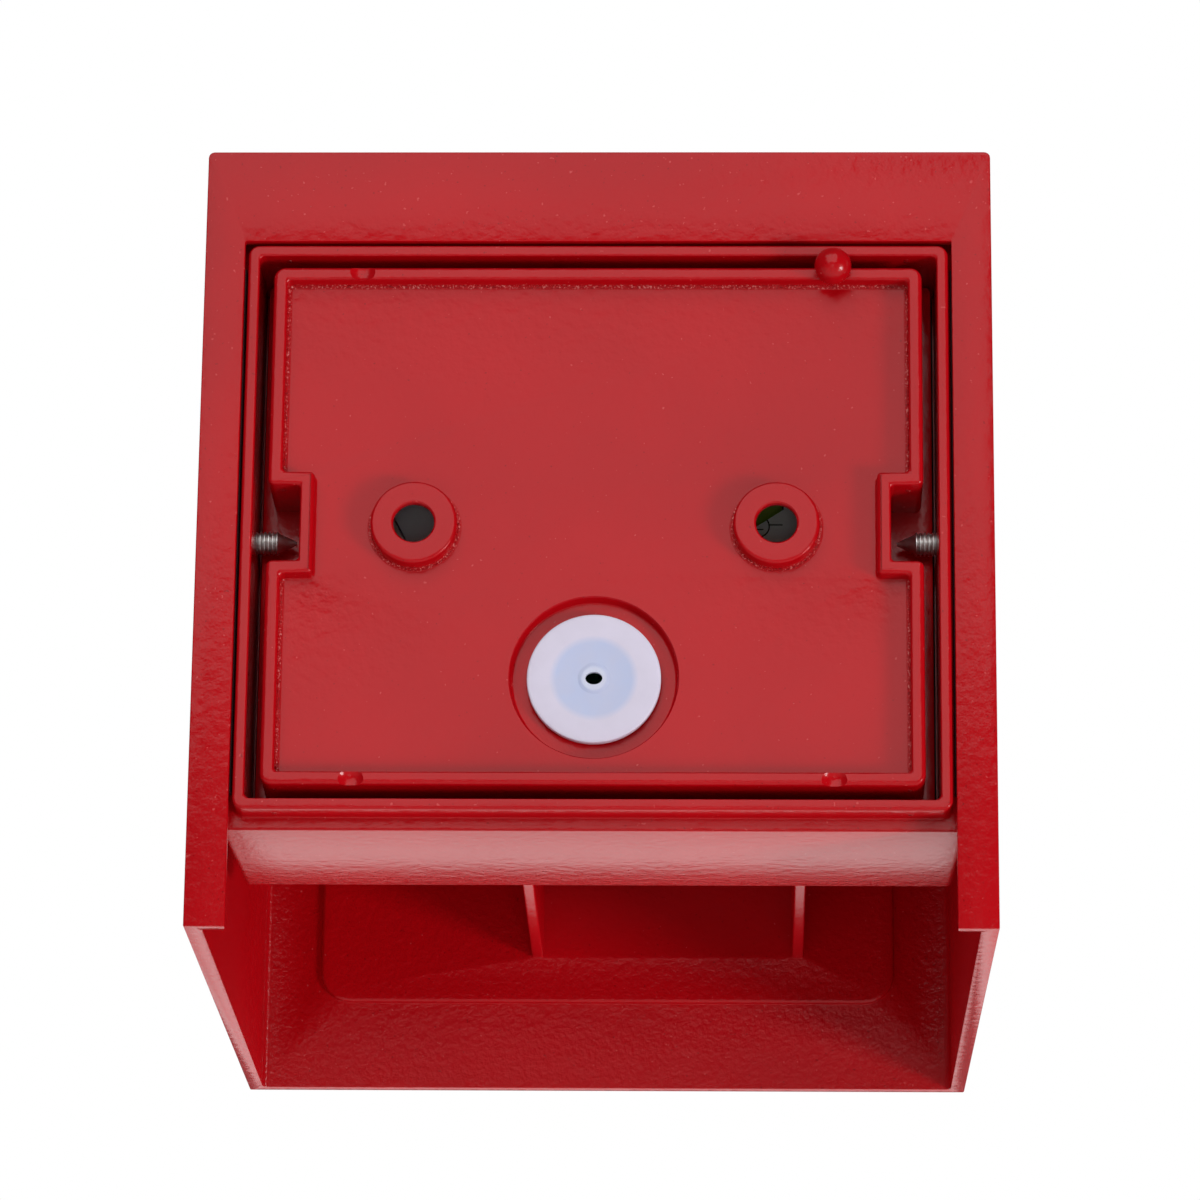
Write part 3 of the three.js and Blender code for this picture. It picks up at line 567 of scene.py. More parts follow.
def spread(tree, value, low, high, out_low, out_high):
    """Maps part of a value's range onto another range."""
    node = tree.nodes.new("ShaderNodeMapRange")
    node.clamp = True
    for socket, number in zip(("From Min", "From Max", "To Min", "To Max"), (low, high, out_low, out_high)):
        node.inputs[socket].default_value = number
    tree.links.new(value, node.inputs["Value"])
    return node.outputs["Result"]


def blend(tree, share, first, second):
    """A colour between two, by a share."""
    node = tree.nodes.new("ShaderNodeMix")
    node.data_type = "RGBA"
    for socket, tint in ((node.inputs[6], first), (node.inputs[7], second)):
        if isinstance(tint, bpy.types.NodeSocket):
            tree.links.new(tint, socket)
        else:
            socket.default_value = (*tint, 1)
    tree.links.new(share, node.inputs[0])
    return node.outputs[2]


def relief(tree, shader, layers):
    """Bump from several heights, each with its strength and depth."""
    normal = None
    for height, strength, depth in layers:
        node = tree.nodes.new("ShaderNodeBump")
        node.inputs["Strength"].default_value = strength
        node.inputs["Distance"].default_value = depth
        tree.links.new(height, node.inputs["Height"])
        if normal:
            tree.links.new(normal, node.inputs["Normal"])
        normal = node.outputs["Normal"]
    tree.links.new(normal, shader.inputs["Normal"])


def shaded(base, share):
    return [channel * share for channel in base]


def maths(tree, operation, first, second=None):
    """The result of a Math node. The second value is a number or another node's."""
    node = tree.nodes.new("ShaderNodeMath")
    node.operation = operation
    tree.links.new(first, node.inputs[0])
    if isinstance(second, bpy.types.NodeSocket):
        tree.links.new(second, node.inputs[1])
    elif second is not None:
        node.inputs[1].default_value = second
    return node.outputs["Value"]


def distance(tree, vector):
    node = tree.nodes.new("ShaderNodeVectorMath")
    node.operation = "LENGTH"
    tree.links.new(vector, node.inputs[0])
    return node.outputs["Value"]


def apart(tree, place):
    node = tree.nodes.new("ShaderNodeSeparateXYZ")
    tree.links.new(place, node.inputs["Vector"])
    return [node.outputs[axis] for axis in "XYZ"]


def band(tree, value, middle, half, soft):
    """One within half of a middle, and nothing beyond, with a soft edge."""
    if middle:
        value = maths(tree, "SUBTRACT", value, middle)
    return spread(tree, maths(tree, "ABSOLUTE", value), half, half + soft, 1, 0)


def seam_mask(tree, place):
    """Where the back plate's sunk floor meets its rim and its bosses: the band of bumpy crust, painted glints
    and painted shade specks.
    """
    sizes = bpy.context.scene.call_point_housing
    _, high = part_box("back_plate")
    across, along, up = apart(tree, place)
    sides = [maths(tree, "ABSOLUTE", value) for value in (across, up)]
    line = None
    for side, outside in zip(sides, (high.x, high.z)):
        seam = outside - sizes.lip - sizes.plate_rim
        beside = band(tree, side, seam - mm(0.1), mm(0.2), mm(0.35))
        line = maths(tree, "MAXIMUM", line, beside) if line else beside
    flat = tree.nodes.new("ShaderNodeCombineXYZ")
    tree.links.new(maths(tree, "SUBTRACT", sides[0], FIXING_X), flat.inputs["X"])
    tree.links.new(up, flat.inputs["Y"])
    foot = band(tree, distance(tree, flat.outputs["Vector"]), sizes.boss / 2, mm(0.35), mm(0.3))
    line = maths(tree, "MAXIMUM", line, foot)
    return maths(tree, "MULTIPLY", line, band(tree, along, -sizes.plate_floor, mm(0.5), mm(0.2))), along


def powder_coat():
    """Glossy red powder coat: fine orange peel, tiny specks, coarser inside the hood's front, and a bumpy
    seam with painted glints and painted shade specks.
    """
    base = bpy.context.scene.call_point_finishes.paint
    finish, tree, shader, place = new_finish("red_powder_coat", base, 0.2)
    if not tree:
        return finish
    shader.inputs["Specular IOR Level"].default_value = 0.24
    seam, along = seam_mask(tree, place)
    peel = noise(tree, place, 560, 2.5, 0.55)
    grain = noise(tree, place, 2400, 2, 0.6)
    drift = noise(tree, place, 22, 3)
    tone = blend(tree, spread(tree, drift, 0.35, 0.65, 0, 1), shaded(base, 0.94), shaded(base, 1.06))
    light = (min(1, base[0] * 1.5), 0.1, 0.1)
    specks = spread(tree, noise(tree, place, 1300, 1, 0.4), 0.75, 0.79, 0, 0.4)
    tone = blend(tree, specks, tone, light)
    dark_specks = spread(tree, noise(tree, place, 1700, 1, 0.4), 0.73, 0.79, 0, 0.6)
    tone = blend(tree, dark_specks, tone, shaded(base, 0.35))
    # Along the seams: pale flecks that are painted glints, and dark specks that are painted shade in the
    # crease; the same noise also gives the real bumpy crust.
    crust_and_painted_light_noise = noise(tree, place, 2600, 3, 0.7)
    seam_painted_glints = maths(tree, "MULTIPLY", seam, spread(tree, crust_and_painted_light_noise, 0.56, 0.66, 0, 0.6))
    tone = blend(tree, seam_painted_glints, tone, (0.85, 0.35, 0.33))
    seam_painted_shade_specks = maths(tree, "MULTIPLY", seam, spread(tree, crust_and_painted_light_noise, 0.36, 0.46, 0.75, 0))
    tone = blend(tree, seam_painted_shade_specks, tone, shaded(base, 0.25))
    tree.links.new(tone, shader.inputs["Base Color"])
    tree.links.new(spread(tree, grain, 0.3, 0.7, 0.16, 0.27), shader.inputs["Roughness"])
    inside = spread(tree, along, -mm(104), -mm(107), 0, 1)
    coarse = maths(tree, "MULTIPLY", noise(tree, place, 1250, 3, 0.6), inside)
    lumps = maths(tree, "MULTIPLY", crust_and_painted_light_noise, seam)
    layers = [(peel, 0.8, mm(0.14)), (grain, 0.3, mm(0.03)), (coarse, 0.5, mm(0.2)), (lumps, 0.8, mm(0.25))]
    relief(tree, shader, layers)
    return finish


def brushed(name, base, roughness, lines=900):
    """Turned or plated metal with faint tool marks."""
    finish, tree, shader, place = new_finish(name, base, roughness, 1.0)
    if not tree:
        return finish
    marks = noise(tree, place, lines, 4, 0.6)
    stain = noise(tree, place, 160, 3)
    tone = blend(tree, spread(tree, stain, 0.35, 0.65, 0, 1), shaded(base, 0.72), shaded(base, 1.12))
    tree.links.new(tone, shader.inputs["Base Color"])
    rough = spread(tree, marks, 0.3, 0.7, roughness * 0.75, roughness * 1.35)
    tree.links.new(rough, shader.inputs["Roughness"])
    relief(tree, shader, [(marks, 0.25, mm(0.03))])
    return finish


def moulded(name, base, roughness, grain_size=1800, depth=0.03, soft=0.0, drift_share=0.09):
    """Moulded plastic or rubber with a fine spark-eroded grain."""
    finish, tree, shader, place = new_finish(name, base, roughness)
    if not tree:
        return finish
    grain = noise(tree, place, grain_size, 3, 0.6)
    drift = noise(tree, place, 70, 2)
    pale, deep = shaded(base, 1 + drift_share), shaded(base, 1 - drift_share)
    tone = blend(tree, spread(tree, drift, 0.3, 0.7, 0, 1), deep, pale)
    tree.links.new(tone, shader.inputs["Base Color"])
    rough = spread(tree, grain, 0.3, 0.7, roughness * 0.85, min(1.0, roughness * 1.15))
    tree.links.new(rough, shader.inputs["Roughness"])
    relief(tree, shader, [(grain, 0.35, mm(depth))])
    if soft:
        shader.inputs["Subsurface Weight"].default_value = soft
        shader.inputs["Subsurface Radius"].default_value = (1, 0.9, 1)
        shader.inputs["Subsurface Scale"].default_value = mm(1.5)
    return finish


def steel_finish():
    return brushed("plated_steel", bpy.context.scene.call_point_finishes.steel, 0.36)


def brass_finish():
    return brushed("turned_brass", bpy.context.scene.call_point_finishes.brass, 0.28)


# name: colour, roughness, grain, its depth in mm, softness, drift of the tone
MOULDED = {
    "black_rubber": ("rubber", 0.75, 1400, 0.05),
    "printed_red": ("print", 0.5, 1500, 0.01),
    "white_nylon": ("nylon", 0.5, 1200, 0.02, 0.15),
    # painted shade: the glide strips are near black-red so their gap looks shaded
    "dark_nylon": ("strips", 0.55, 1200, 0.02),
    "black_plastic": ("button", 0.38, 2200, 0.02),
    "printed_plate": ("plate", 0.45, 1500, 0.01, 0, 0.02),
    "grey_plastic": ("cover", 0.55, 2000, 0.04),
    "green_plastic": ("terminals", 0.42, 1800, 0.02),
}


def moulding(name):
    """One of the plain moulded materials."""
    tint, *numbers = MOULDED[name]
    return moulded(name, getattr(bpy.context.scene.call_point_finishes, tint), *numbers)


def grommet_finish():
    """Milky silicone, whose thin middle is bluer, with a pale ring on the pilot hole's lip that is a painted
    highlight.
    """
    base = bpy.context.scene.call_point_finishes.silicone
    finish, tree, shader, place = new_finish("grommet_silicone", base, 0.4)
    if not tree:
        return finish
    low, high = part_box("cable_grommet")
    centring = tree.nodes.new("ShaderNodeMapping")
    centring.inputs["Location"].default_value = (0, 0, -(low.z + high.z) / 2)
    centring.inputs["Scale"].default_value = (1, 0, 1)
    tree.links.new(place, centring.inputs["Vector"])
    reach = distance(tree, centring.outputs["Vector"])
    thin = bpy.context.scene.call_point_finishes.membrane
    zone = spread(tree, reach, mm(6.2), mm(7.4), 0, 1)
    cloud = noise(tree, place, 260, 3)
    tone = blend(tree, zone, thin, base)
    # Painted highlight: a pale ring on the crest of the pilot hole's lip.
    lip = spread(tree, reach, mm(1.7), mm(2.3), 0.35, 0)
    tone = blend(tree, lip, tone, (0.82, 0.82, 0.86))
    tone = blend(tree, spread(tree, cloud, 0.35, 0.65, 0, 0.25), tone, shaded(base, 0.86))
    tree.links.new(tone, shader.inputs["Base Color"])
    grain = noise(tree, place, 1500, 2)
    tree.links.new(spread(tree, grain, 0.3, 0.7, 0.32, 0.5), shader.inputs["Roughness"])
    relief(tree, shader, [(cloud, 0.15, mm(0.15)), (grain, 0.15, mm(0.02))])
    shader.inputs["Subsurface Weight"].default_value = 0.3
    shader.inputs["Subsurface Radius"].default_value = (1, 0.9, 1)
    shader.inputs["Subsurface Scale"].default_value = mm(1)
    return finish


def board_finish():
    """Green solder mask with darker copper tracks under it."""
    base = bpy.context.scene.call_point_finishes.board
    finish, tree, shader, place = new_finish("board_laminate", base, 0.35)
    if not tree:
        return finish
    tracks = tree.nodes.new("ShaderNodeTexBrick")
    tracks.inputs["Scale"].default_value = 190
    tracks.inputs["Mortar Size"].default_value = 0.05
    tracks.inputs["Color1"].default_value = (*base, 1)
    tracks.inputs["Color2"].default_value = (*shaded(base, 0.8), 1)
    tracks.inputs["Mortar"].default_value = (*[min(1, channel * 1.9 + 0.01) for channel in base], 1)
    turn = tree.nodes.new("ShaderNodeMapping")
    turn.inputs["Rotation"].default_value = (math.pi / 2, 0, 0)
    tree.links.new(place, turn.inputs["Vector"])
    tree.links.new(turn.outputs["Vector"], tracks.inputs["Vector"])
    tree.links.new(tracks.outputs["Color"], shader.inputs["Base Color"])
    relief(tree, shader, [(tracks.outputs["Fac"], 0.3, mm(0.03))])
    return finish


def lamp_finish():
    """Clear red lens."""
    base = bpy.context.scene.call_point_finishes.lamp
    finish, tree, shader, place = new_finish("red_lens", base, 0.08)
    if not tree:
        return finish
    shader.inputs["Transmission Weight"].default_value = 0.6
    shader.inputs["IOR"].default_value = 1.49
    swirl = noise(tree, place, 500, 2)
    tree.links.new(spread(tree, swirl, 0.3, 0.7, 0.05, 0.12), shader.inputs["Roughness"])
    relief(tree, shader, [(swirl, 0.1, mm(0.02))])
    return finish


def resistor_finish():
    """Tan lacquer with colour rings along X."""
    base = bpy.context.scene.call_point_finishes.resistor
    finish, tree, shader, place = new_finish("resistor_body", base, 0.35)
    if not tree:
        return finish
    along = apart(tree, place)[0]
    tone = blend(tree, noise(tree, place, 300), shaded(base, 0.9), shaded(base, 1.05))
    brown, black, red, gold = (0.2, 0.05, 0.01), (0.01, 0.01, 0.01), (0.5, 0.02, 0.01), (0.6, 0.4, 0.05)
    for spot, tint in ((-2.1, brown), (-1.0, black), (0.1, red), (1.9, gold)):
        inside = tree.nodes.new("ShaderNodeMath")
        inside.operation = "COMPARE"
        inside.inputs[1].default_value = mm(spot)
        inside.inputs[2].default_value = mm(0.28)
        tree.links.new(along, inside.inputs[0])
        tone = blend(tree, inside.outputs["Value"], tone, tint)
    tree.links.new(tone, shader.inputs["Base Color"])
    return finish


# ------------------------------------------------------------------------------ castings
class CALLPOINT_OT_hood(bpy.types.Operator):
    """Models the hood: a deep tapered cover with a flange at the wall, a pad and two ribs"""

    bl_idname = "callpoint.hood"
    bl_label = "Hood"

    def execute(self, context):
        sizes = context.scene.call_point_hood
        low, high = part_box("hood_shell")
        hood = block("hood_casting", low, high)
        bevel(hood, lambda edge: runs(edge, 1) and middle(edge).z > 0, sizes.outer_corner, 4)
        draw_in(hood, high.y, low.y, sizes.lean, sizes.lean)
        inner_front = low.y + sizes.front
        hollow_low = (low.x + sizes.wall, inner_front, low.z - mm(6))
        hollow_high = (high.x - sizes.wall, high.y - sizes.flange, high.z - sizes.wall)
        hollow = block("hollow", hollow_low, hollow_high)
        bevel(hollow, lambda edge: not lies_at(edge, hollow_high[1]), sizes.fillet, 4)
        lean = sizes.lean - sizes.thinning
        draw_in(hollow, hollow_high[1], inner_front, lean, lean)
        opening = block(
            "opening",
            (-sizes.opening_half_width, hollow_high[1] - mm(1), low.z - mm(6)),
            (sizes.opening_half_width, high.y + mm(1), sizes.opening_top),
        )
        cut(hood, hollow, opening)
        pad_low = low.z + sizes.pad_margin
        pad_high = high.z - sizes.lean - sizes.pad_margin
        half = sizes.pad_width / 2
        recess = plate(
            "recess", half, pad_low, pad_high, sizes.pad_corner, low.y + sizes.pad_height, low.y - mm(1)
        )
        bevel(recess, lambda edge: lies_at(edge, low.y + sizes.pad_height), mm(0.4), 3)
        cut(hood, recess)
        pad_face = inner_front + sizes.pad_height
        pad = plate("pad", half, pad_low, pad_high, sizes.pad_corner, pad_face, inner_front - mm(0.5))
        bevel(pad, lambda edge: lies_at(edge, pad_face), mm(0.6), 4)
        unite(hood, pad)
        for node in ("lift_stop_screw_left", "lift_stop_screw_right"):
            screw_low, screw_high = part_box(node)
            x = (screw_low.x + screw_high.x) / 2
            rib = self.rib(sizes, x, pad_face, high.z - sizes.wall)
            unite(hood, rib)
        tidy_mesh(hood)
        soften(hood, sizes.edge)
        done(hood, powder_coat(), "hood", ["hood_shell"])
        return {"FINISHED"}

    @staticmethod
    def rib(sizes, x, pad_face, roof):
        half = sizes.rib / 2
        top = roof - mm(0.5)
        rib = block("rib", (x - half, pad_face - mm(0.5), sizes.rib_bottom), (x + half, sizes.rib_rear, top))
        toe = block(
            "toe",
            (x - half, sizes.rib_rear - mm(2), sizes.rib_bottom),
            (x + half, sizes.toe_rear, sizes.rib_bottom + sizes.toe_height),
        )
        unite(rib, toe)
        tidy_mesh(rib)
        free = lambda edge: middle(edge).y > pad_face and middle(edge).z < top - mm(0.1)
        bevel(rib, free, mm(0.4), 3)
        return rib


class CALLPOINT_OT_housing(bpy.types.Operator):
    """Models the housing: a box with a stepped rim at the wall and the holes in its front and sides"""

    bl_idname = "callpoint.housing"
    bl_label = "Housing"

    def execute(self, context):
        sizes = context.scene.call_point_housing
        low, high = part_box("housing_shell")
        ledge_y = high.y - sizes.rim_step
        shell = block("housing_casting", low, (high.x, ledge_y, high.z))
        self.step(shell, ledge_y, sizes.ledge, sizes.rim_step)
        self.step(shell, high.y, sizes.rim, -sizes.land_depth - high.y)
        self.step(shell, -sizes.land_depth, sizes.land, low.y + sizes.front + sizes.land_depth)
        rim_x = high.x - sizes.ledge
        land_x = rim_x - sizes.rim
        corners = (
            (high.x, low.y, ledge_y, sizes.corner),
            (rim_x, ledge_y, high.y, sizes.rim_corner),
            (land_x, -sizes.land_depth, high.y, mm(1.2)),
            (land_x - sizes.land, low.y + sizes.front, -sizes.land_depth, mm(1.2)),
        )
        for x, front, back, radius in corners:
            bevel(
                shell,
                lambda edge: runs(edge, 1)
                and abs(abs(middle(edge).x) - x) < mm(0.2)
                and front < middle(edge).y < back,
                radius,
                8,
            )
        with editing(shell):
            choose(shell, "VERT", lambda corner: abs(corner.co.y - low.y) < mm(0.01))
            scale = (1 - sizes.draft / high.x, 1, 1 - sizes.draft / high.z)
            bpy.ops.transform.resize(value=scale, center_override=(0, low.y, 0))
        bevel(shell, lambda edge: lies_at(edge, low.y), sizes.front_round, 5)
        bevel(shell, lambda edge: self.on_loop(edge, high.y, (rim_x, land_x)), sizes.rim_round, 4)
        bevel(shell, lambda edge: self.on_loop(edge, ledge_y, (high.x,)), mm(0.3), 3)
        bevel(shell, lambda edge: self.on_loop(edge, ledge_y, (rim_x,)), mm(0.4), 3)
        merge_slivers(shell)
        self.pillars(shell, sizes, low)
        self.holes(shell, sizes, low, high)
        done(shell, powder_coat(), "housing", ["housing_shell"])
        return {"FINISHED"}

    @staticmethod
    def step(shell, y, inset, rise):
        """Insets the face at a depth and pushes it out or in."""
        with editing(shell):
            choose(shell, "FACE", lambda face: lies_at(face, y) and abs(middle(face).x) < mm(1))
            bpy.ops.mesh.inset(thickness=inset, depth=0, use_even_offset=True)
            push((0, rise, 0))

    @staticmethod
    def on_loop(edge, y, reaches):
        """True for an edge of a flat outline at a depth, among those that reach these widths."""
        if not lies_at(edge, y) or len({round(f.normal.y, 2) for f in edge.link_faces}) < 2:
            return False
        spot = middle(edge)
        shorter, slack = mm(9.3), mm(0.945)
        beside = any(abs(abs(spot.x) - reach) < slack for reach in reaches)
        above = any(abs(abs(spot.z) - (reach - shorter)) < slack for reach in reaches)
        return beside or above

    @staticmethod
    def pillars(shell, sizes, low):
        """Four pillars that carry the circuit board."""
        inner = low.y + sizes.front
        board_low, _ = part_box("circuit_board")
        for index in range(1, 5):
            screw_low, screw_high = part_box(f"board_screw_{index}")
            x, z = centre(screw_low, screw_high)
            top = board_low.y - mm(0.3)
            profile = [(mm(1.5), inner - mm(1)), (mm(4.3), inner - mm(1)), (mm(3.6), inner + mm(1))]
            profile += [(mm(3.5), top), (mm(1.5), top), (mm(1.5), inner - mm(1))]
            unite(shell, turned("pillar", profile, x, z, 32))

    @staticmethod
    def holes(shell, sizes, low, high):
        inner = low.y + sizes.front
        tools = []
        openings = [("button_collar", 11.3, 64), ("lamp_holder", 4, 64)]
        openings += [(f"lift_stop_screw_{word}", 2.8, 40) for word in ("left", "right")]
        for node, radius, steps in openings:
            spot = sum(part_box(node), Vector()) / 2
            start, end = (spot.x, low.y - mm(1), spot.z), (spot.x, inner + mm(1), spot.z)
            tools.append(bar("hole", mm(radius), start, end, steps))
        node_low, node_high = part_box("clamp_screw_right")
        (y, z), out = centre(node_low, node_high, "yz"), high.x + mm(1)
        tools.append(bar("hole", mm(2.3), (-out, y, z), (out, y, z), 40))
        cut(shell, *tools)


class CALLPOINT_OT_back_plate(bpy.types.Operator):
    """Models the back plate: a sunk floor in a rim, notched at the sides, with bosses and a cable entry"""

    bl_idname = "callpoint.back_plate"
    bl_label = "Back plate"

    def execute(self, context):
        sizes = context.scene.call_point_housing
        low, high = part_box("back_plate")
        half_x, half_z = high.x - sizes.lip, high.z - sizes.lip
        lip_back = low.y + sizes.lip_height
        notch_x = half_x - sizes.notch_depth
        body = self.notched(
            "back_plate_casting", half_x, half_z, notch_x, sizes.notch_half, 0, lip_back - mm(1)
        )
        with editing(body):
            choose(body, "FACE", lambda face: lies_at(face, 0))
            bpy.ops.mesh.inset(thickness=sizes.plate_rim, depth=0, use_even_offset=True)
            push((0, -sizes.plate_floor, 0))
        rim = sizes.plate_rim
        corners = (
            (half_x, half_z, sizes.plate_corner),
            (half_x, sizes.notch_half, mm(1.1)),
            (notch_x, sizes.notch_half, mm(0.8)),
            (half_x - rim, half_z - rim, mm(0.9)),
            (half_x - rim, sizes.notch_half + rim, mm(1.1)),
            (notch_x - rim, sizes.notch_half + rim, mm(0.8)),
        )
        for x, z, radius in corners:
            at_corner = lambda edge: runs(edge, 1) and near(edge, x, z)
            bevel(body, at_corner, radius, 6)
        bevel(body, lambda edge: lies_at(edge, 0) and is_crease(edge), mm(0.75), 5)
        bevel(body, lambda edge: lies_at(edge, -sizes.plate_floor) and is_crease(edge), mm(0.35), 3)
        lip = plate("lip", high.x, low.z, high.z, mm(1), lip_back, low.y)
        bevel(lip, lambda edge: lies_at(edge, lip_back) or lies_at(edge, low.y), mm(0.3), 2)
        unite(body, lip)
        floor_front = -2 * sizes.plate_floor
        tray = self.notched(
            "tray", half_x - rim, half_z - rim, notch_x - rim, sizes.notch_half + rim,
            floor_front, low.y - mm(1),
        )
        bevel(tray, lambda edge: lies_at(edge, floor_front), mm(0.8), 3)
        cut(body, tray)
        for x in (-FIXING_X, FIXING_X):
            self.boss(body, sizes, x)
        self.cable_entry(body, sizes)
        self.earth_boss(body, floor_front)
        self.scoops(body, sizes, half_z)
        merge_slivers(body)
        for x in (-FIXING_X, FIXING_X):
            self.fixing_hole(body, sizes, x)
        done(body, powder_coat(), "housing", ["back_plate"])
        return {"FINISHED"}

    @staticmethod
    def notched(name, half_x, half_z, notch_x, notch_half, back, front):
        """A slab with a square notch in each side."""
        pick()
        bpy.ops.mesh.primitive_plane_add(size=2, location=(0, back, 0), rotation=(math.pi / 2, 0, 0))
        piece = named(name)
        with editing(piece):
            take_all()
            bpy.ops.transform.resize(value=(half_x, 1, half_z), center_override=(0, back, 0))
            cuts = [((x, 0, 0), (1, 0, 0)) for x in (-notch_x, notch_x)]
            cuts += [((0, 0, z), (0, 0, 1)) for z in (-notch_half, notch_half)]
            for spot, way in cuts:
                take_all()
                bpy.ops.mesh.bisect(plane_co=spot, plane_no=way)
            choose(
                piece,
                "FACE",
                lambda face: abs(middle(face).x) > notch_x and abs(middle(face).z) < notch_half,
            )
            bpy.ops.mesh.delete(type="FACE")
            take_all()
            bpy.ops.mesh.dissolve_faces()
            push((0, front - back, 0))
            take_all()
            bpy.ops.mesh.dissolve_limited(angle_limit=math.radians(0.5))
            take_all()
            face_out()
        return piece

    @staticmethod
    def boss(body, sizes, x):
        """A round boss up to the wall, with a fillet at its foot."""
        floor, under = -sizes.plate_floor, -2 * sizes.plate_floor
        radius = sizes.boss / 2
        foot = radius + mm(0.7)
        profile = [(0, under + mm(0.4)), (foot, under + mm(0.4)), (foot, floor - mm(0.2)), (radius, floor)]
        profile += [(radius, 0), (0, 0)]
        unite(body, turned("boss", eased(profile, mm(0.65), 5), x, 0, 96))

    @staticmethod
    def fixing_hole(body, sizes, x):
        hole, hollow = sizes.fixing_hole / 2, sizes.boss / 2 - sizes.fixing_seat
        seat, end = -sizes.fixing_seat, -3 * sizes.plate_floor
        profile = [(0, mm(1)), (hole + mm(1.3), mm(1)), (hole, -mm(0.3)), (hole, seat), (hollow, seat)]
        profile += [(hollow, end), (0, end)]
        cut(body, turned("fixing_hole", eased(profile, mm(0.3), 4), x, 0, 96))

    @staticmethod
    def cable_entry(body, sizes):
        """A round recess with a soft edge, a pad in front of it, and the grommet's hole."""
        low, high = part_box("cable_grommet")
        z = (low.z + high.z) / 2
        floor = -sizes.plate_floor
        front = 2 * floor - sizes.entry_pad_height
        radius, hole = sizes.entry_recess / 2, sizes.entry_hole / 2
        bed = floor - sizes.entry_depth
        pad = [(0, floor - mm(0.5)), (sizes.entry_pad / 2 + mm(0.4), floor - mm(0.5))]
        pad += [(sizes.entry_pad / 2, front), (0, front)]
        unite(body, turned("pad", eased(pad, mm(0.5), 4), 0, z, 96))
        profile = [(0, floor + mm(1)), (radius + mm(0.75), floor + mm(1))]
        profile += [(radius - mm(0.05), floor - mm(0.35))]
        profile += [(radius - mm(0.3), bed), (hole, bed), (hole, front - mm(1)), (0, front - mm(1))]
        cut(body, turned("entry", eased(profile, mm(0.45), 5), 0, z, 96))

    @staticmethod
    def earth_boss(body, floor_front):
        low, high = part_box("earth_screw")
        x, z = centre(low, high)
        tip = floor_front - mm(3)
        profile = [(mm(2.3), floor_front + mm(0.5)), (mm(4.6), floor_front + mm(0.5))]
        profile += [(mm(4.4), floor_front - mm(0.3)), (mm(4), tip)]
        profile += [(mm(2.3), tip), (mm(2.3), floor_front + mm(0.5))]
        unite(body, turned("earth_boss", eased(profile, mm(0.3)), x, z, 40))

    @staticmethod
    def scoops(body, sizes, half_z):
        """Shallow dips in the long rims."""
        radius = mm(3.1)
        for x in (-sizes.scoop_spacing / 2, sizes.scoop_spacing / 2):
            for z in (-half_z + mm(0.75), half_z - mm(0.75)):
                pick()
                bpy.ops.mesh.primitive_uv_sphere_add(
                    segments=48, ring_count=32, radius=radius, location=(x, radius - mm(0.85), z)
                )
                cut(body, named("scoop"))


# ------------------------------------------------------------------------------ fittings
class CALLPOINT_OT_clamp_screws(bpy.types.Operator):
    """Models the two threaded screws that clamp the housing on the back plate"""

    bl_idname = "callpoint.clamp_screws"
    bl_label = "Clamp screws"

    def execute(self, context):
        for side, word in ((-1, "left"), (1, "right")):
            node = f"clamp_screw_{word}"
            low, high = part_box(node)
            tip, outer = (low.x, high.x) if side > 0 else (high.x, low.x)
            y, z = centre(low, high, "yz")
            pitch, crest, root = mm(0.7) * side, mm(2), mm(1.62)
            profile = [(0, tip), (mm(0.3), tip + side * mm(0.05)), (root, tip + side * mm(2.9))]
            along = tip + side * mm(2.9)
            while abs(along + pitch - outer) > mm(0.9):
                profile += [(crest, along + pitch * 0.42), (crest, along + pitch * 0.58)]
                profile += [(root, along + pitch)]
                along += pitch
            profile += [(crest - mm(0.1), outer - side * mm(0.5)), (crest - mm(0.4), outer), (0, outer)]
            screw = turned_along_x(f"set_screw_{word}", profile, y, z, 48)
            pick()
            bpy.ops.mesh.primitive_cylinder_add(
                vertices=6,
                radius=mm(1.15),
                depth=mm(4.4),
                location=(outer, y, z),
                rotation=(0, math.pi / 2, 0),
            )
            cut(screw, named("socket"))
            done(screw, steel_finish(), "housing", [node], 40)
        return {"FINISHED"}


class CALLPOINT_OT_hood_guides(bpy.types.Operator):
    """Models the stop screws, the rubber buffers and the glide strips that guide the hood"""

    bl_idname = "callpoint.hood_guides"
    bl_label = "Hood guides"

    def execute(self, context):
        for word in ("left", "right"):
            self.stop_screw(word)
            self.buffer(word)
            node = f"glide_strip_{word}"
            strip = block(f"glide_{word}", *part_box(node))
            bevel(strip, lambda edge: True, mm(0.3), 3)
            # The strips are painted near black-red as painted shade for the gap round the hood's flange.
            done(strip, moulding("dark_nylon"), "housing", [node])
        return {"FINISHED"}

    @staticmethod
    def stop_screw(word):
        node = f"lift_stop_screw_{word}"
        low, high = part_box(node)
        x, z = centre(low, high)
        radius, face = (high.x - low.x) / 2, low.y
        seat = face + mm(5)
        profile = [(0, face), (radius, face), (radius, seat), (mm(2.5), seat), (mm(2.5), high.y), (0, high.y)]
        screw = turned(f"stop_screw_{word}", eased(profile, mm(0.5), 5), x, z)
        socket = bar("socket", mm(2.3), (x, face - mm(1), z), (x, face + mm(2.6), z), 6)
        cut(screw, socket)
        done(screw, steel_finish(), "housing", [node])

    @staticmethod
    def buffer(word):
        node = f"hood_buffer_{word}"
        low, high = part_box(node)
        x, y = centre(low, high, "xy")
        pad = bar(f"rubber_buffer_{word}", (high.x - low.x) / 2, (x, y, low.z), (x, y, high.z), 64)
        with editing(pad):
            choose(pad, "FACE", lambda face: face.normal.z > 0.9)
            bpy.ops.mesh.inset(thickness=mm(1.6))
            push((0, 0, -mm(0.4)))
        soften(pad, mm(0.3), 3)
        done(pad, moulding("black_rubber"), "housing", [node])


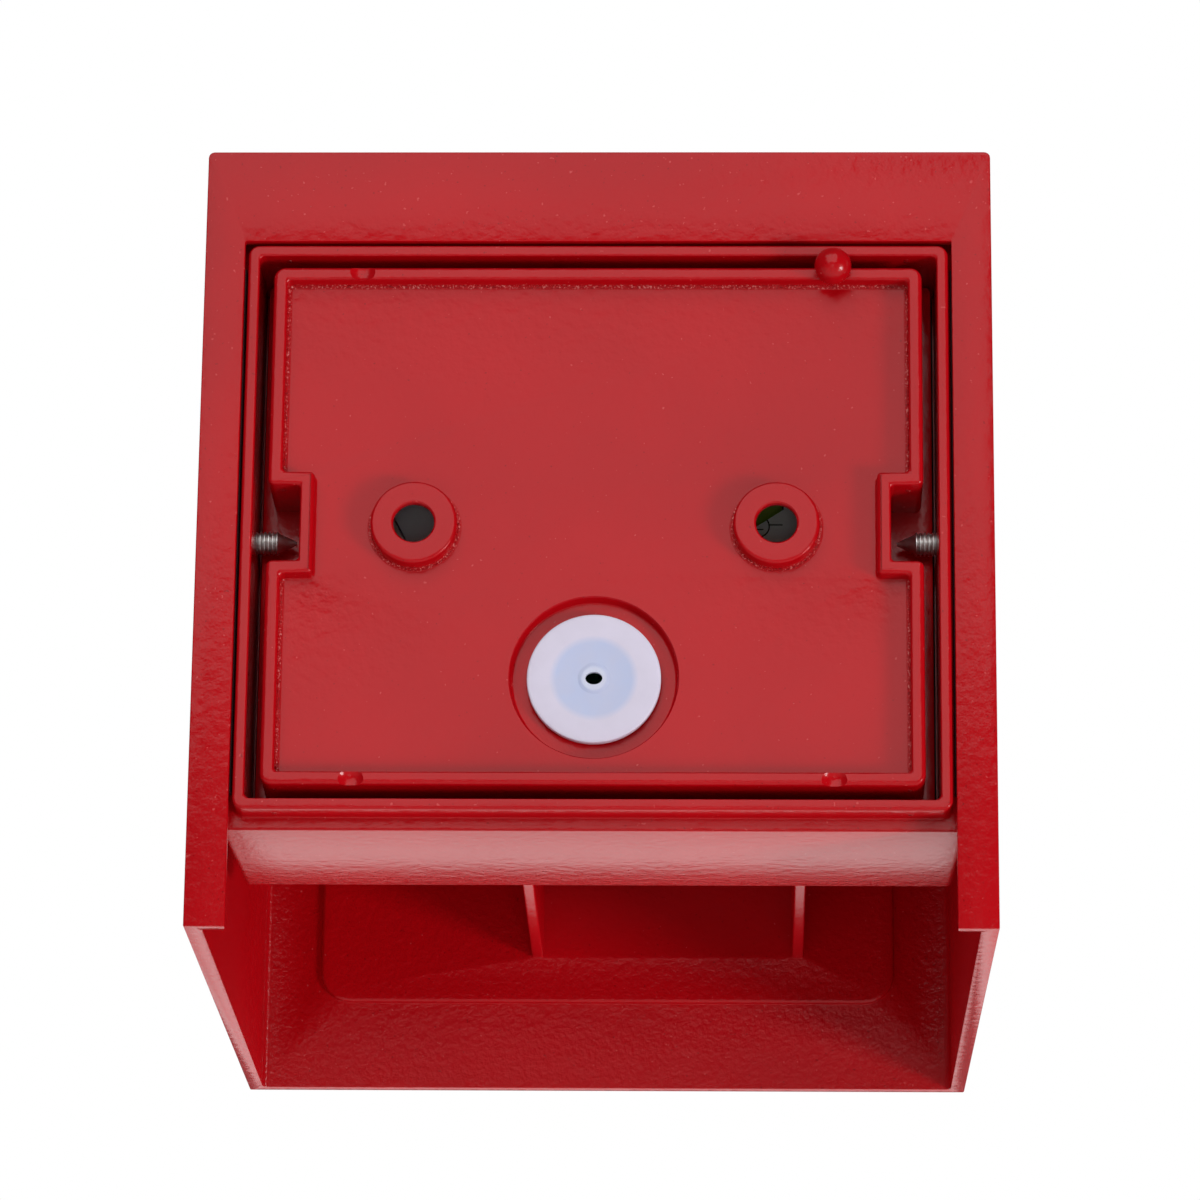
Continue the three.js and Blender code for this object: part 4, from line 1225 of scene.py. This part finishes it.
class CALLPOINT_OT_gasket(bpy.types.Operator):
    """Models the rubber gasket between the housing and the back plate"""

    bl_idname = "callpoint.gasket"
    bl_label = "Gasket"

    def execute(self, context):
        low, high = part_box("body_gasket")
        width = mm(2.4)
        ring = plate("gasket", high.x, low.z, high.z, mm(1.6), high.y, low.y)
        inside = plate(
            "inside", high.x - width, low.z + width, high.z - width, mm(1), high.y + mm(1), low.y - mm(1)
        )
        cut(ring, inside)
        tidy_mesh(ring)
        soften(ring, mm(0.5), 3)
        done(ring, moulding("black_rubber"), "housing", ["body_gasket"])
        return {"FINISHED"}


class CALLPOINT_OT_cable_grommet(bpy.types.Operator):
    """Models the soft grommet with a thin membrane and a lipped pilot hole"""

    bl_idname = "callpoint.cable_grommet"
    bl_label = "Cable grommet"

    def execute(self, context):
        low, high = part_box("cable_grommet")
        z = (low.z + high.z) / 2
        flange, back = (high.x - low.x) / 2, high.y
        front_y, inner = back - mm(1.4), low.y
        membrane, hole = mm(6), mm(1.35)
        profile = [
            (hole, back),
            (hole, back - mm(0.9)),
            (membrane - mm(0.3), back - mm(0.9)),
            (membrane + mm(0.6), inner),
            (mm(10), inner),
            (mm(10), inner + mm(1.5)),
            (mm(8.2), inner + mm(1.5)),
            (mm(8.2), front_y),
            (flange, front_y),
            (flange, back - mm(0.1)),
            (flange - mm(0.5), back),
            (membrane + mm(1), back - mm(0.02)),
            (membrane, back - mm(0.16)),
            (hole + mm(1.3), back - mm(0.18)),
            (hole + mm(0.7), back),
            (hole, back),
        ]
        grommet = turned("grommet", eased(profile, mm(0.25), 3), 0, z, 96)
        with editing(grommet):
            near_hole = lambda corner: math.hypot(corner.co.x, corner.co.z - z) < hole + mm(0.35)
            choose(grommet, "VERT", near_hole)
            bpy.ops.transform.resize(value=(1.04, 1, 0.8), center_override=(0, back, z))
        done(grommet, grommet_finish(), "housing", ["cable_grommet"], 50)
        return {"FINISHED"}


class CALLPOINT_OT_earth_screw(bpy.types.Operator):
    """Models the slotted brass earth screw on the back plate"""

    bl_idname = "callpoint.earth_screw"
    bl_label = "Earth screw"

    def execute(self, context):
        low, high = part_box("earth_screw")
        x, z = centre(low, high)
        radius, face = (high.x - low.x) / 2, low.y
        seat = face + mm(2.4)
        profile = [(0, face), (radius - mm(0.6), face), (radius, face + mm(0.7)), (radius, seat)]
        profile += [(mm(2), seat), (mm(2), high.y - mm(0.3)), (mm(1.7), high.y), (0, high.y)]
        screw = turned("brass_earth_screw", eased(profile, mm(0.25)), x, z, 48)
        slot = block("slot", (x - mm(5), face - mm(1), z - mm(0.5)), (x + mm(5), face + mm(1), z + mm(0.5)))
        cut(screw, slot)
        done(screw, brass_finish(), "housing", ["earth_screw"])
        return {"FINISHED"}


# ------------------------------------------------------------------------------ front
class CALLPOINT_OT_front_plates(bpy.types.Operator):
    """Models the white plates on the hood and round the button, with plain printed signs"""

    bl_idname = "callpoint.front_plates"
    bl_label = "Front plates"

    def execute(self, context):
        low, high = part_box("instruction_plate")
        label = plate("hood_label", high.x, low.z, high.z, mm(4.9), high.y, low.y + mm(0.05))
        bevel(label, lambda edge: lies_at(edge, low.y + mm(0.05)), mm(0.15), 2)
        done(label, moulding("printed_plate"), "hood", ["instruction_plate"])
        self.hood_signs(low, high)
        self.legend()
        return {"FINISHED"}

    @staticmethod
    def hood_signs(low, high):
        """A frame, an arrow that says lift, and a disc in a ring that says press."""
        face, back = low.y, low.y + mm(0.12)
        middle_z = (low.z + high.z) / 2
        frame_sign = plate("label_frame", high.x - mm(3), low.z + mm(3), high.z - mm(3), mm(3), back, face)
        inside = plate(
            "inside", high.x - mm(4.2), low.z + mm(4.2), high.z - mm(4.2), mm(2), back + mm(1), face - mm(1)
        )
        cut(frame_sign, inside)
        arrow = arrow_up("label_arrow", mm(22), middle_z, mm(30), face, back)
        ring_x = -mm(22)
        profile = [(mm(17), face), (mm(19), face), (mm(19), back), (mm(17), back), (mm(17), face)]
        ring = turned("label_ring", profile, ring_x, middle_z)
        disc = bar("label_disc", mm(11), (ring_x, back, middle_z), (ring_x, face, middle_z), 72)
        for sign in (frame_sign, arrow, ring, disc):
            done(sign, moulding("printed_red"), "hood", [])

    @staticmethod
    def legend():
        low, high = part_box("legend_plate")
        x = (low.x + high.x) / 2
        face = low.y
        legend = plate(
            "button_legend", (high.x - low.x) / 2, low.z, high.z, mm(3), high.y, face + mm(0.05), x
        )
        bevel(legend, lambda edge: lies_at(edge, face + mm(0.05)), mm(0.15), 2)
        cut(legend, bar("hole", mm(11.3), (x, high.y + mm(1), 0), (x, face - mm(1), 0), 72))
        done(legend, moulding("printed_plate"), "housing", ["legend_plate"])
        profile = [(mm(16.2), face), (mm(17), face), (mm(17), face + mm(0.12)), (mm(16.2), face + mm(0.12))]
        ring = turned("legend_ring", profile + profile[:1], x, 0)
        done(ring, moulding("printed_red"), "housing", [])
        for turn in range(4):
            angle = math.radians(45 + 90 * turn)
            spot_x, spot_z = x + mm(21) * math.cos(angle), mm(21) * math.sin(angle)
            dot = bar("legend_dot", mm(1), (spot_x, face + mm(0.12), spot_z), (spot_x, face, spot_z), 24)
            dot.name = f"legend_dot_{turn + 1}"
            done(dot, moulding("printed_red"), "housing", [])


class CALLPOINT_OT_push_button(bpy.types.Operator):
    """Models the palm button: collar, seal, return spring and mushroom head"""

    bl_idname = "callpoint.push_button"
    bl_label = "Push button"

    def execute(self, context):
        self.collar()
        self.seal()
        self.spring()
        self.head()
        return {"FINISHED"}

    @staticmethod
    def collar():
        low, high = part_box("button_collar")
        x = (low.x + high.x) / 2
        front, end = low.y, high.y
        rear = front + mm(7)
        flange, tube = (high.x - low.x) / 2, mm(11)
        guide = end - mm(5.5)
        profile = [
            (mm(7.5), front),
            (flange - mm(1.2), front),
            (flange, rear - mm(1.2)),
            (flange, rear),
            (tube, rear),
        ]
        along = rear + mm(0.8)
        while along < end - mm(1.2):
            profile += [(tube, along), (tube - mm(0.5), along + mm(0.35)), (tube, along + mm(0.7))]
            along += mm(1)
        profile += [
            (tube, end),
            (mm(5.3), end),
            (mm(5.3), end - mm(1.6)),
            (mm(7), end - mm(1.6)),
            (mm(7), end - mm(3.6)),
            (mm(5.3), end - mm(3.6)),
            (mm(5.3), guide),
            (mm(7.5), guide),
            (mm(7.5), front),
        ]
        collar = turned("collar", eased(profile, mm(0.35), 3), x, 0, 96)
        for index in range(16):
            angle = FULL_TURN * index / 16
            spot_x, spot_z = x + mm(15.4) * math.cos(angle), mm(15.4) * math.sin(angle)
            flute = bar("flute", mm(1), (spot_x, rear + mm(0.1), spot_z), (spot_x, front - mm(1), spot_z), 20)
            cut(collar, flute)
        done(collar, moulding("black_plastic"), "housing", ["button_collar"])

    @staticmethod
    def seal():
        low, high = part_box("panel_seal")
        x = (low.x + high.x) / 2
        profile = [(mm(11.3), low.y), ((high.x - low.x) / 2, low.y), ((high.x - low.x) / 2, high.y)]
        profile += [(mm(11.3), high.y), (mm(11.3), low.y)]
        seal = turned("seal_ring", eased(profile, mm(0.4), 4), x, 0)
        done(seal, moulding("black_rubber"), "housing", ["panel_seal"])

    @staticmethod
    def spring():
        """A coil of round wire."""
        low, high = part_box("return_spring")
        x = (low.x + high.x) / 2
        wire, turns = mm(0.5), 5
        radius = (high.x - low.x) / 2 - wire
        start, end = high.y - wire, low.y + wire
        pick()
        turn = (math.pi / 2, 0, 0)
        bpy.ops.mesh.primitive_circle_add(vertices=16, radius=wire, location=(radius, 0, 0), rotation=turn)
        coil = named("coil_spring")
        pick(coil)
        bpy.ops.object.modifier_add(type="SCREW")
        modifier = coil.modifiers[-1]
        modifier.axis = "Z"
        modifier.angle = FULL_TURN
        modifier.iterations = turns
        modifier.steps = 40
        modifier.render_steps = 40
        modifier.screw_offset = (start - end) / turns
        modifier.use_merge_vertices = False
        bpy.ops.object.modifier_apply(modifier=modifier.name)
        with editing(coil):
            bpy.ops.mesh.select_mode(type="EDGE")
            take_all()
            bpy.ops.mesh.region_to_loop()
            bpy.ops.mesh.edge_face_add()
            take_all()
            face_out()
        coil.rotation_euler = (math.pi / 2, 0, 0)
        coil.location = (x, start, 0)
        done(coil, steel_finish(), "housing", ["return_spring"], 60)
        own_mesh(coil)

    @staticmethod
    def head():
        low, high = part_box("palm_head")
        x = (low.x + high.x) / 2
        front, rear, radius = low.y, high.y, (high.x - low.x) / 2
        lock = mm(4.8)
        rim = rear - mm(5)
        profile = [
            (mm(2.3), rear - mm(3.5)),
            (mm(5.3), rear - mm(3.5)),
            (mm(5.3), rear),
            (mm(9), rear),
            (mm(9.6), rear - mm(2)),
            (mm(15.5), rear - mm(2)),
            (mm(16.2), rear),
            (radius - mm(1.2), rear),
            (radius, rear - mm(1.2)),
            (radius, rim),
        ]
        face = mm(7)
        for step in range(1, 13):
            angle = math.pi / 2 * step / 12
            out = face + (radius - face) * math.cos(angle)
            profile.append((out, rim - (rim - front) * math.sin(angle)))
        profile += [
            (lock + mm(0.5), front),
            (lock, front + mm(0.5)),
            (lock, front + mm(9.9)),
            (mm(2.3), front + mm(9.9)),
            (mm(2.3), rear - mm(3.5)),
        ]
        head = turned("palm_button", eased(profile, mm(0.3), 3), x, 0, 96)
        done(head, moulding("black_plastic"), "push_button", ["palm_head"])


class CALLPOINT_OT_reset_lock(bpy.types.Operator):
    """Models the key lock in the middle of the palm button"""

    bl_idname = "callpoint.reset_lock"
    bl_label = "Reset lock"

    def execute(self, context):
        low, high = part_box("lock_barrel")
        x = (low.x + high.x) / 2
        front, radius = low.y, (high.x - low.x) / 2
        rear = front + mm(9.4)
        profile = [(0, front + mm(0.25)), (mm(3.4), front + mm(0.25)), (mm(3.7), front), (radius, front)]
        profile += [(radius, rear), (mm(2), rear), (mm(2), high.y), (0, high.y)]
        barrel = turned("key_barrel", eased(profile, mm(0.3), 4), x, 0, 64)
        slot = block("slot", (x - mm(0.65), front - mm(1), -mm(3)), (x + mm(0.65), front + mm(3.2), mm(3)))
        bevel(slot, lambda edge: runs(edge, 1), mm(0.25), 3)
        ward = block("ward", (x, front - mm(1), -mm(1)), (x + mm(1.2), front + mm(3.2), mm(0.2)))
        unite(slot, ward)
        cut(barrel, slot)
        done(barrel, steel_finish(), "reset_lock", ["lock_barrel"])
        return {"FINISHED"}


class CALLPOINT_OT_status_lamp(bpy.types.Operator):
    """Models the lamp: its holder, the clear lens and the light behind it"""

    bl_idname = "callpoint.status_lamp"
    bl_label = "Status lamp"

    def execute(self, context):
        low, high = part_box("lamp_holder")
        x, z = centre(low, high)
        flange, front = (high.x - low.x) / 2, low.y
        bore, tube = mm(2.8), mm(3.7)
        seat = front + mm(1.6)
        profile = [(bore, front + mm(0.5)), (mm(3.9), front + mm(0.5)), (mm(4.3), front), (flange, front)]
        profile += [(flange, seat), (tube, seat)]
        along = seat + mm(3)
        while along < high.y - mm(0.8):
            profile += [(tube, along), (tube - mm(0.3), along + mm(0.25)), (tube, along + mm(0.5))]
            along += mm(0.7)
        profile += [(tube, high.y), (bore, high.y), (bore, front + mm(0.5))]
        holder = turned("lamp_bezel", eased(profile, mm(0.25), 3), x, z)
        done(holder, steel_finish(), "housing", ["lamp_holder"])
        low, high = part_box("lamp_lens")
        radius, tip, seat = (high.x - low.x) / 2, low.y, high.y
        profile = dome(radius, tip, seat - mm(0.4) - tip, 10) + [(radius, seat), (0, seat)]
        lens = turned("lens", profile, x, z)
        done(lens, lamp_finish(), "housing", ["lamp_lens"], 50)
        low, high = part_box("lamp_led")
        radius = mm(2.5)
        profile = dome(radius, low.y, radius, 8)
        profile += [(radius, high.y - mm(1)), (mm(2.6), high.y - mm(1)), (mm(2.6), high.y), (0, high.y)]
        light = turned("led", profile, x, z, 40)
        done(light, lamp_finish(), "housing", ["lamp_led"], 50)
        return {"FINISHED"}


# ------------------------------------------------------------------------------ inside
class CALLPOINT_OT_circuit_board(bpy.types.Operator):
    """Models the circuit board, the cover, the terminals and the lamp's plug behind it"""

    bl_idname = "callpoint.circuit_board"
    bl_label = "Circuit board"

    def execute(self, context):
        low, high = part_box("circuit_board")
        board = plate("board", high.x, low.z, high.z, mm(2), high.y, low.y)
        for index in range(1, 5):
            screw_low, screw_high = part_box(f"board_screw_{index}")
            x, z = centre(screw_low, screw_high)
            cut(board, bar("hole", mm(1.5), (x, high.y + mm(1), z), (x, low.y - mm(1), z), 32))
        done(board, board_finish(), "housing", ["circuit_board"])
        block_low, block_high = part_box("terminal_block")
        self.cover(block_low, block_high)
        self.terminals(block_low, block_high)
        self.plug()
        return {"FINISHED"}

    @staticmethod
    def outline(name, low, high, air, top, back, front):
        """The terminal block's outline: a slab with its lower left corner cut off at a slant."""
        left, bottom = low.x - air, low.z - air
        piece = block(name, (left, front, bottom), (high.x + air, back, top))
        slant(piece, (left + mm(6), 0, 0), (1, 0, 0), (left, bottom), (0, 0, mm(4)))
        return piece

    def cover(self, block_low, block_high):
        low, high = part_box("board_cover")
        x = (low.x + high.x) / 2
        half = (high.x - low.x) / 2
        cover = plate("grey_cover", half, low.z, high.z, mm(2), high.y, low.y, x)
        bevel(cover, lambda edge: lies_at(edge, high.y), mm(0.4), 3)
        room = self.outline(
            "room", block_low, block_high, mm(0.3), high.z + mm(1), high.y + mm(1), low.y - mm(1)
        )
        signs = self.cover_signs(high.y)
        for sign in signs:
            tool = copy_of(room, "trim", (0, 0, 0))
            cut(sign, tool)
            done(sign, moulding("black_rubber"), "housing", [])
        lean = mm(6)
        start = high.x - lean
        beside = block(
            "beside_plug", (start, low.y - mm(1), low.z - mm(1)), (high.x + mm(1), high.y + mm(1), mm(14))
        )
        slant(beside, (0, 0, -mm(5)), (0, 0, 1), (start, mm(14)), (0, 0, -mm(14)))
        cut(cover, room)
        cut(cover, beside)
        done(cover, moulding("grey_plastic"), "housing", ["board_cover"])

    @staticmethod
    def cover_signs(face):
        """A ring with a short line beside it and a dash inside, printed on the cover."""
        back = face + mm(0.04)
        profile = [(mm(1.75), face), (mm(1.75), back), (mm(1.98), back), (mm(1.98), face), (mm(1.75), face)]
        ring = turned("cover_ring", profile, -mm(27), mm(4.85), 64)
        line = block("cover_line", (-mm(31.1), face, mm(5.04)), (-mm(28.95), back, mm(5.24)))
        dash = block("cover_dash", (-mm(27.9), face, mm(4.23)), (-mm(26.1), back, mm(4.43)))
        return ring, line, dash

    def terminals(self, low, high):
        body = self.outline("green_terminals", low, high, 0, high.z, high.y, low.y)
        bevel(body, lambda edge: not lies_at(edge, low.y), mm(0.3), 2)
        count = 6
        pitch = (high.x - low.x) / count
        for index in range(count):
            screw_low, screw_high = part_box(f"terminal_screw_{index + 1}")
            x, z = centre(screw_low, screw_high)
            well = bar("well", mm(1.9), (x, high.y + mm(1), z), (x, high.y - mm(4.6), z), 32)
            near_corner = (x - mm(1.7), low.y + mm(2), high.z - mm(4))
            far_corner = (x + mm(1.7), low.y + mm(5.2), high.z + mm(1))
            mouth = block("mouth", near_corner, far_corner)
            cut(body, well, mouth)
            if index:
                seam_x = low.x + pitch * index
                seam = block(
                    "seam",
                    (seam_x - mm(0.15), high.y - mm(0.5), low.z - mm(1)),
                    (seam_x + mm(0.15), high.y + mm(1), high.z + mm(1)),
                )
                cut(body, seam)
            self.terminal_screw(index, x, z, screw_low, screw_high)
        done(body, moulding("green_plastic"), "housing", ["terminal_block"])

    @staticmethod
    def terminal_screw(index, x, z, low, high):
        profile = [(0, high.y), (mm(1.3), high.y), (mm(1.6), high.y - mm(0.3)), (mm(1.6), low.y), (0, low.y)]
        screw = turned(f"clamp_{index + 1}", profile[::-1], x, z, 32)
        slot = block(
            "slot", (x - mm(2), high.y - mm(0.8), z - mm(0.3)), (x + mm(2), high.y + mm(1), z + mm(0.3))
        )
        cut(screw, slot)
        done(screw, steel_finish(), "housing", [f"terminal_screw_{index + 1}"])

    @staticmethod
    def plug():
        """The lamp's white plug, with one slanted side."""
        low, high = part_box("lamp_plug")
        plug = block("white_plug", low, high)
        slant(plug, (0, 0, (low.z + high.z) / 2), (0, 0, 1), (low.x, high.z), (mm(3), 0, 0))
        soften(plug, mm(0.3), 3)
        done(plug, moulding("white_nylon"), "housing", ["lamp_plug"])


class CALLPOINT_OT_inner_works(bpy.types.Operator):
    """Finishes the pieces hidden inside: nuts, stem, press bar, clip, switches, screws and resistor"""

    bl_idname = "callpoint.inner_works"
    bl_label = "Inner works"

    def execute(self, context):
        steel, rubber = ("plated_steel", steel_finish()), ("black_rubber", moulding("black_rubber"))
        works = [
            ("ring_nut", "back_nut", "housing", steel, 0.25),
            ("lamp_nut", "small_nut", "housing", steel, 0.25),
            ("stem_seal", "o_ring", "housing", rubber, 0),
            ("push_stem", "stem", "push_button", steel, 0.2),
            ("press_bar", "bar", "push_button", ("grey_plastic", moulding("grey_plastic")), 0.3),
            ("stem_clip", "clip", "push_button", steel, 0.12),
            ("line_resistor", "resistor", "housing", ("resistor_body", resistor_finish()), 0.15),
        ]
        for side in ("left", "right"):
            works.append(
                (f"micro_switch_{side}", f"switch_{side}", "housing",
                 ("black_plastic", moulding("black_plastic")), 0.3)
            )
            works.append(
                (f"switch_plunger_{side}", f"plunger_{side}", "switch_plungers",
                 ("lamp_red", lamp_finish()), 0.2)
            )
        for index in range(1, 5):
            works.append((f"board_screw_{index}", f"pan_screw_{index}", "housing", steel, 0.2))
        for node, name, body, (slot, finish), rounding in works:
            piece = merged_copy(node, name)
            if rounding:
                soften(piece, mm(rounding))
            done(piece, finish, body, [node])
        return {"FINISHED"}


# ------------------------------------------------------------------------------ stage
class CALLPOINT_OT_stage(bpy.types.Operator):
    """Makes the camera, the pale floor and the soft light"""

    bl_idname = "callpoint.stage"
    bl_label = "Stage"

    def execute(self, context):
        settings = context.scene.call_point_stage
        context.scene.view_settings.view_transform = "Standard"
        pick()
        bpy.ops.object.camera_add(location=settings.camera_place, rotation=settings.camera_turn)
        camera = context.object
        camera.name = "camera"
        camera.data.lens = settings.lens
        camera.data.sensor_width = 36
        camera.data.clip_start = 0.01
        camera.data.clip_end = 100
        context.scene.camera = camera
        pick()
        bpy.ops.mesh.primitive_plane_add(size=12, location=(0, 0, -settings.floor_drop))
        floor = named("floor")
        finish, _, shader, _ = new_finish("pale_floor", (0.86, 0.86, 0.85), 0.8)
        shader.inputs["Emission Color"].default_value = (1, 1, 1, 1)
        shader.inputs["Emission Strength"].default_value = settings.floor_glow
        floor.data.materials.append(finish)
        self.surroundings(context.scene, settings)
        self.light("rear_light", (0.2, 1.8, 1.1), 2.4, settings.rear_power)
        self.light("fill_light", (-0.05, 1.88, -0.66), 0.3, settings.fill_power)
        self.light("key_light", (-1.5, 0.9, -0.75), 0.4, settings.key_power)
        for side in (-1, 1):
            self.light(f"side_light_{side}", (side * 2.0, -1.0, 0.3), 1.5, settings.side_power)
        self.light("low_light", (-0.1, -1.2, -1.1), 1.8, settings.low_power)
        return {"FINISHED"}

    @staticmethod
    def surroundings(scene, settings):
        """Even white surroundings, which light the object less than they shine behind it."""
        world = bpy.data.worlds.new("soft_studio")
        scene.world = world
        world.use_nodes = True
        tree = world.node_tree
        fill = tree.nodes["Background"]
        fill.inputs["Color"].default_value = (1, 1, 1, 1)
        fill.inputs["Strength"].default_value = settings.surroundings
        seen = tree.nodes.new("ShaderNodeBackground")
        seen.inputs["Color"].default_value = (1, 1, 1, 1)
        ray = tree.nodes.new("ShaderNodeLightPath")
        choice = tree.nodes.new("ShaderNodeMixShader")
        tree.links.new(ray.outputs["Is Camera Ray"], choice.inputs[0])
        tree.links.new(fill.outputs["Background"], choice.inputs[1])
        tree.links.new(seen.outputs["Background"], choice.inputs[2])
        tree.links.new(choice.outputs["Shader"], tree.nodes["World Output"].inputs["Surface"])

    @staticmethod
    def light(name, place, size, power):
        """A square soft light that looks at the object."""
        turn = (-Vector(place)).to_track_quat("-Z", "Y").to_euler()
        pick()
        bpy.ops.object.light_add(type="AREA", location=place, rotation=turn)
        lamp = bpy.context.object
        lamp.name = name
        lamp.data.size = size
        lamp.data.energy = power


STEPS = (
    CALLPOINT_OT_hood,
    CALLPOINT_OT_housing,
    CALLPOINT_OT_back_plate,
    CALLPOINT_OT_clamp_screws,
    CALLPOINT_OT_hood_guides,
    CALLPOINT_OT_gasket,
    CALLPOINT_OT_cable_grommet,
    CALLPOINT_OT_earth_screw,
    CALLPOINT_OT_front_plates,
    CALLPOINT_OT_push_button,
    CALLPOINT_OT_reset_lock,
    CALLPOINT_OT_status_lamp,
    CALLPOINT_OT_circuit_board,
    CALLPOINT_OT_inner_works,
    CALLPOINT_OT_stage,
)


class CALLPOINT_PT_pieces(bpy.types.Panel):
    """Lists the steps that build the call point"""

    bl_idname = "CALLPOINT_PT_pieces"
    bl_label = "Manual Call Point"
    bl_space_type = "VIEW_3D"
    bl_region_type = "UI"
    bl_category = "Call Point"

    def draw(self, context):
        for step in STEPS:
            self.layout.operator(step.bl_idname)


GROUPS = {
    "call_point_hood": HoodSizes,
    "call_point_housing": HousingSizes,
    "call_point_finishes": Finishes,
    "call_point_stage": StageSettings,
}


def register():
    for group in GROUPS.values():
        bpy.utils.register_class(group)
    for name, group in GROUPS.items():
        setattr(bpy.types.Scene, name, PointerProperty(type=group))
    for step in STEPS:
        bpy.utils.register_class(step)
    bpy.utils.register_class(CALLPOINT_PT_pieces)


def unregister():
    bpy.utils.unregister_class(CALLPOINT_PT_pieces)
    for step in reversed(STEPS):
        bpy.utils.unregister_class(step)
    for name in GROUPS:
        delattr(bpy.types.Scene, name)
    for group in reversed(list(GROUPS.values())):
        bpy.utils.unregister_class(group)


def main():
    register()
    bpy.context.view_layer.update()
    for step in STEPS:
        getattr(bpy.ops.callpoint, step.bl_idname.split(".")[1])()


if __name__ == "__main__":
    main()
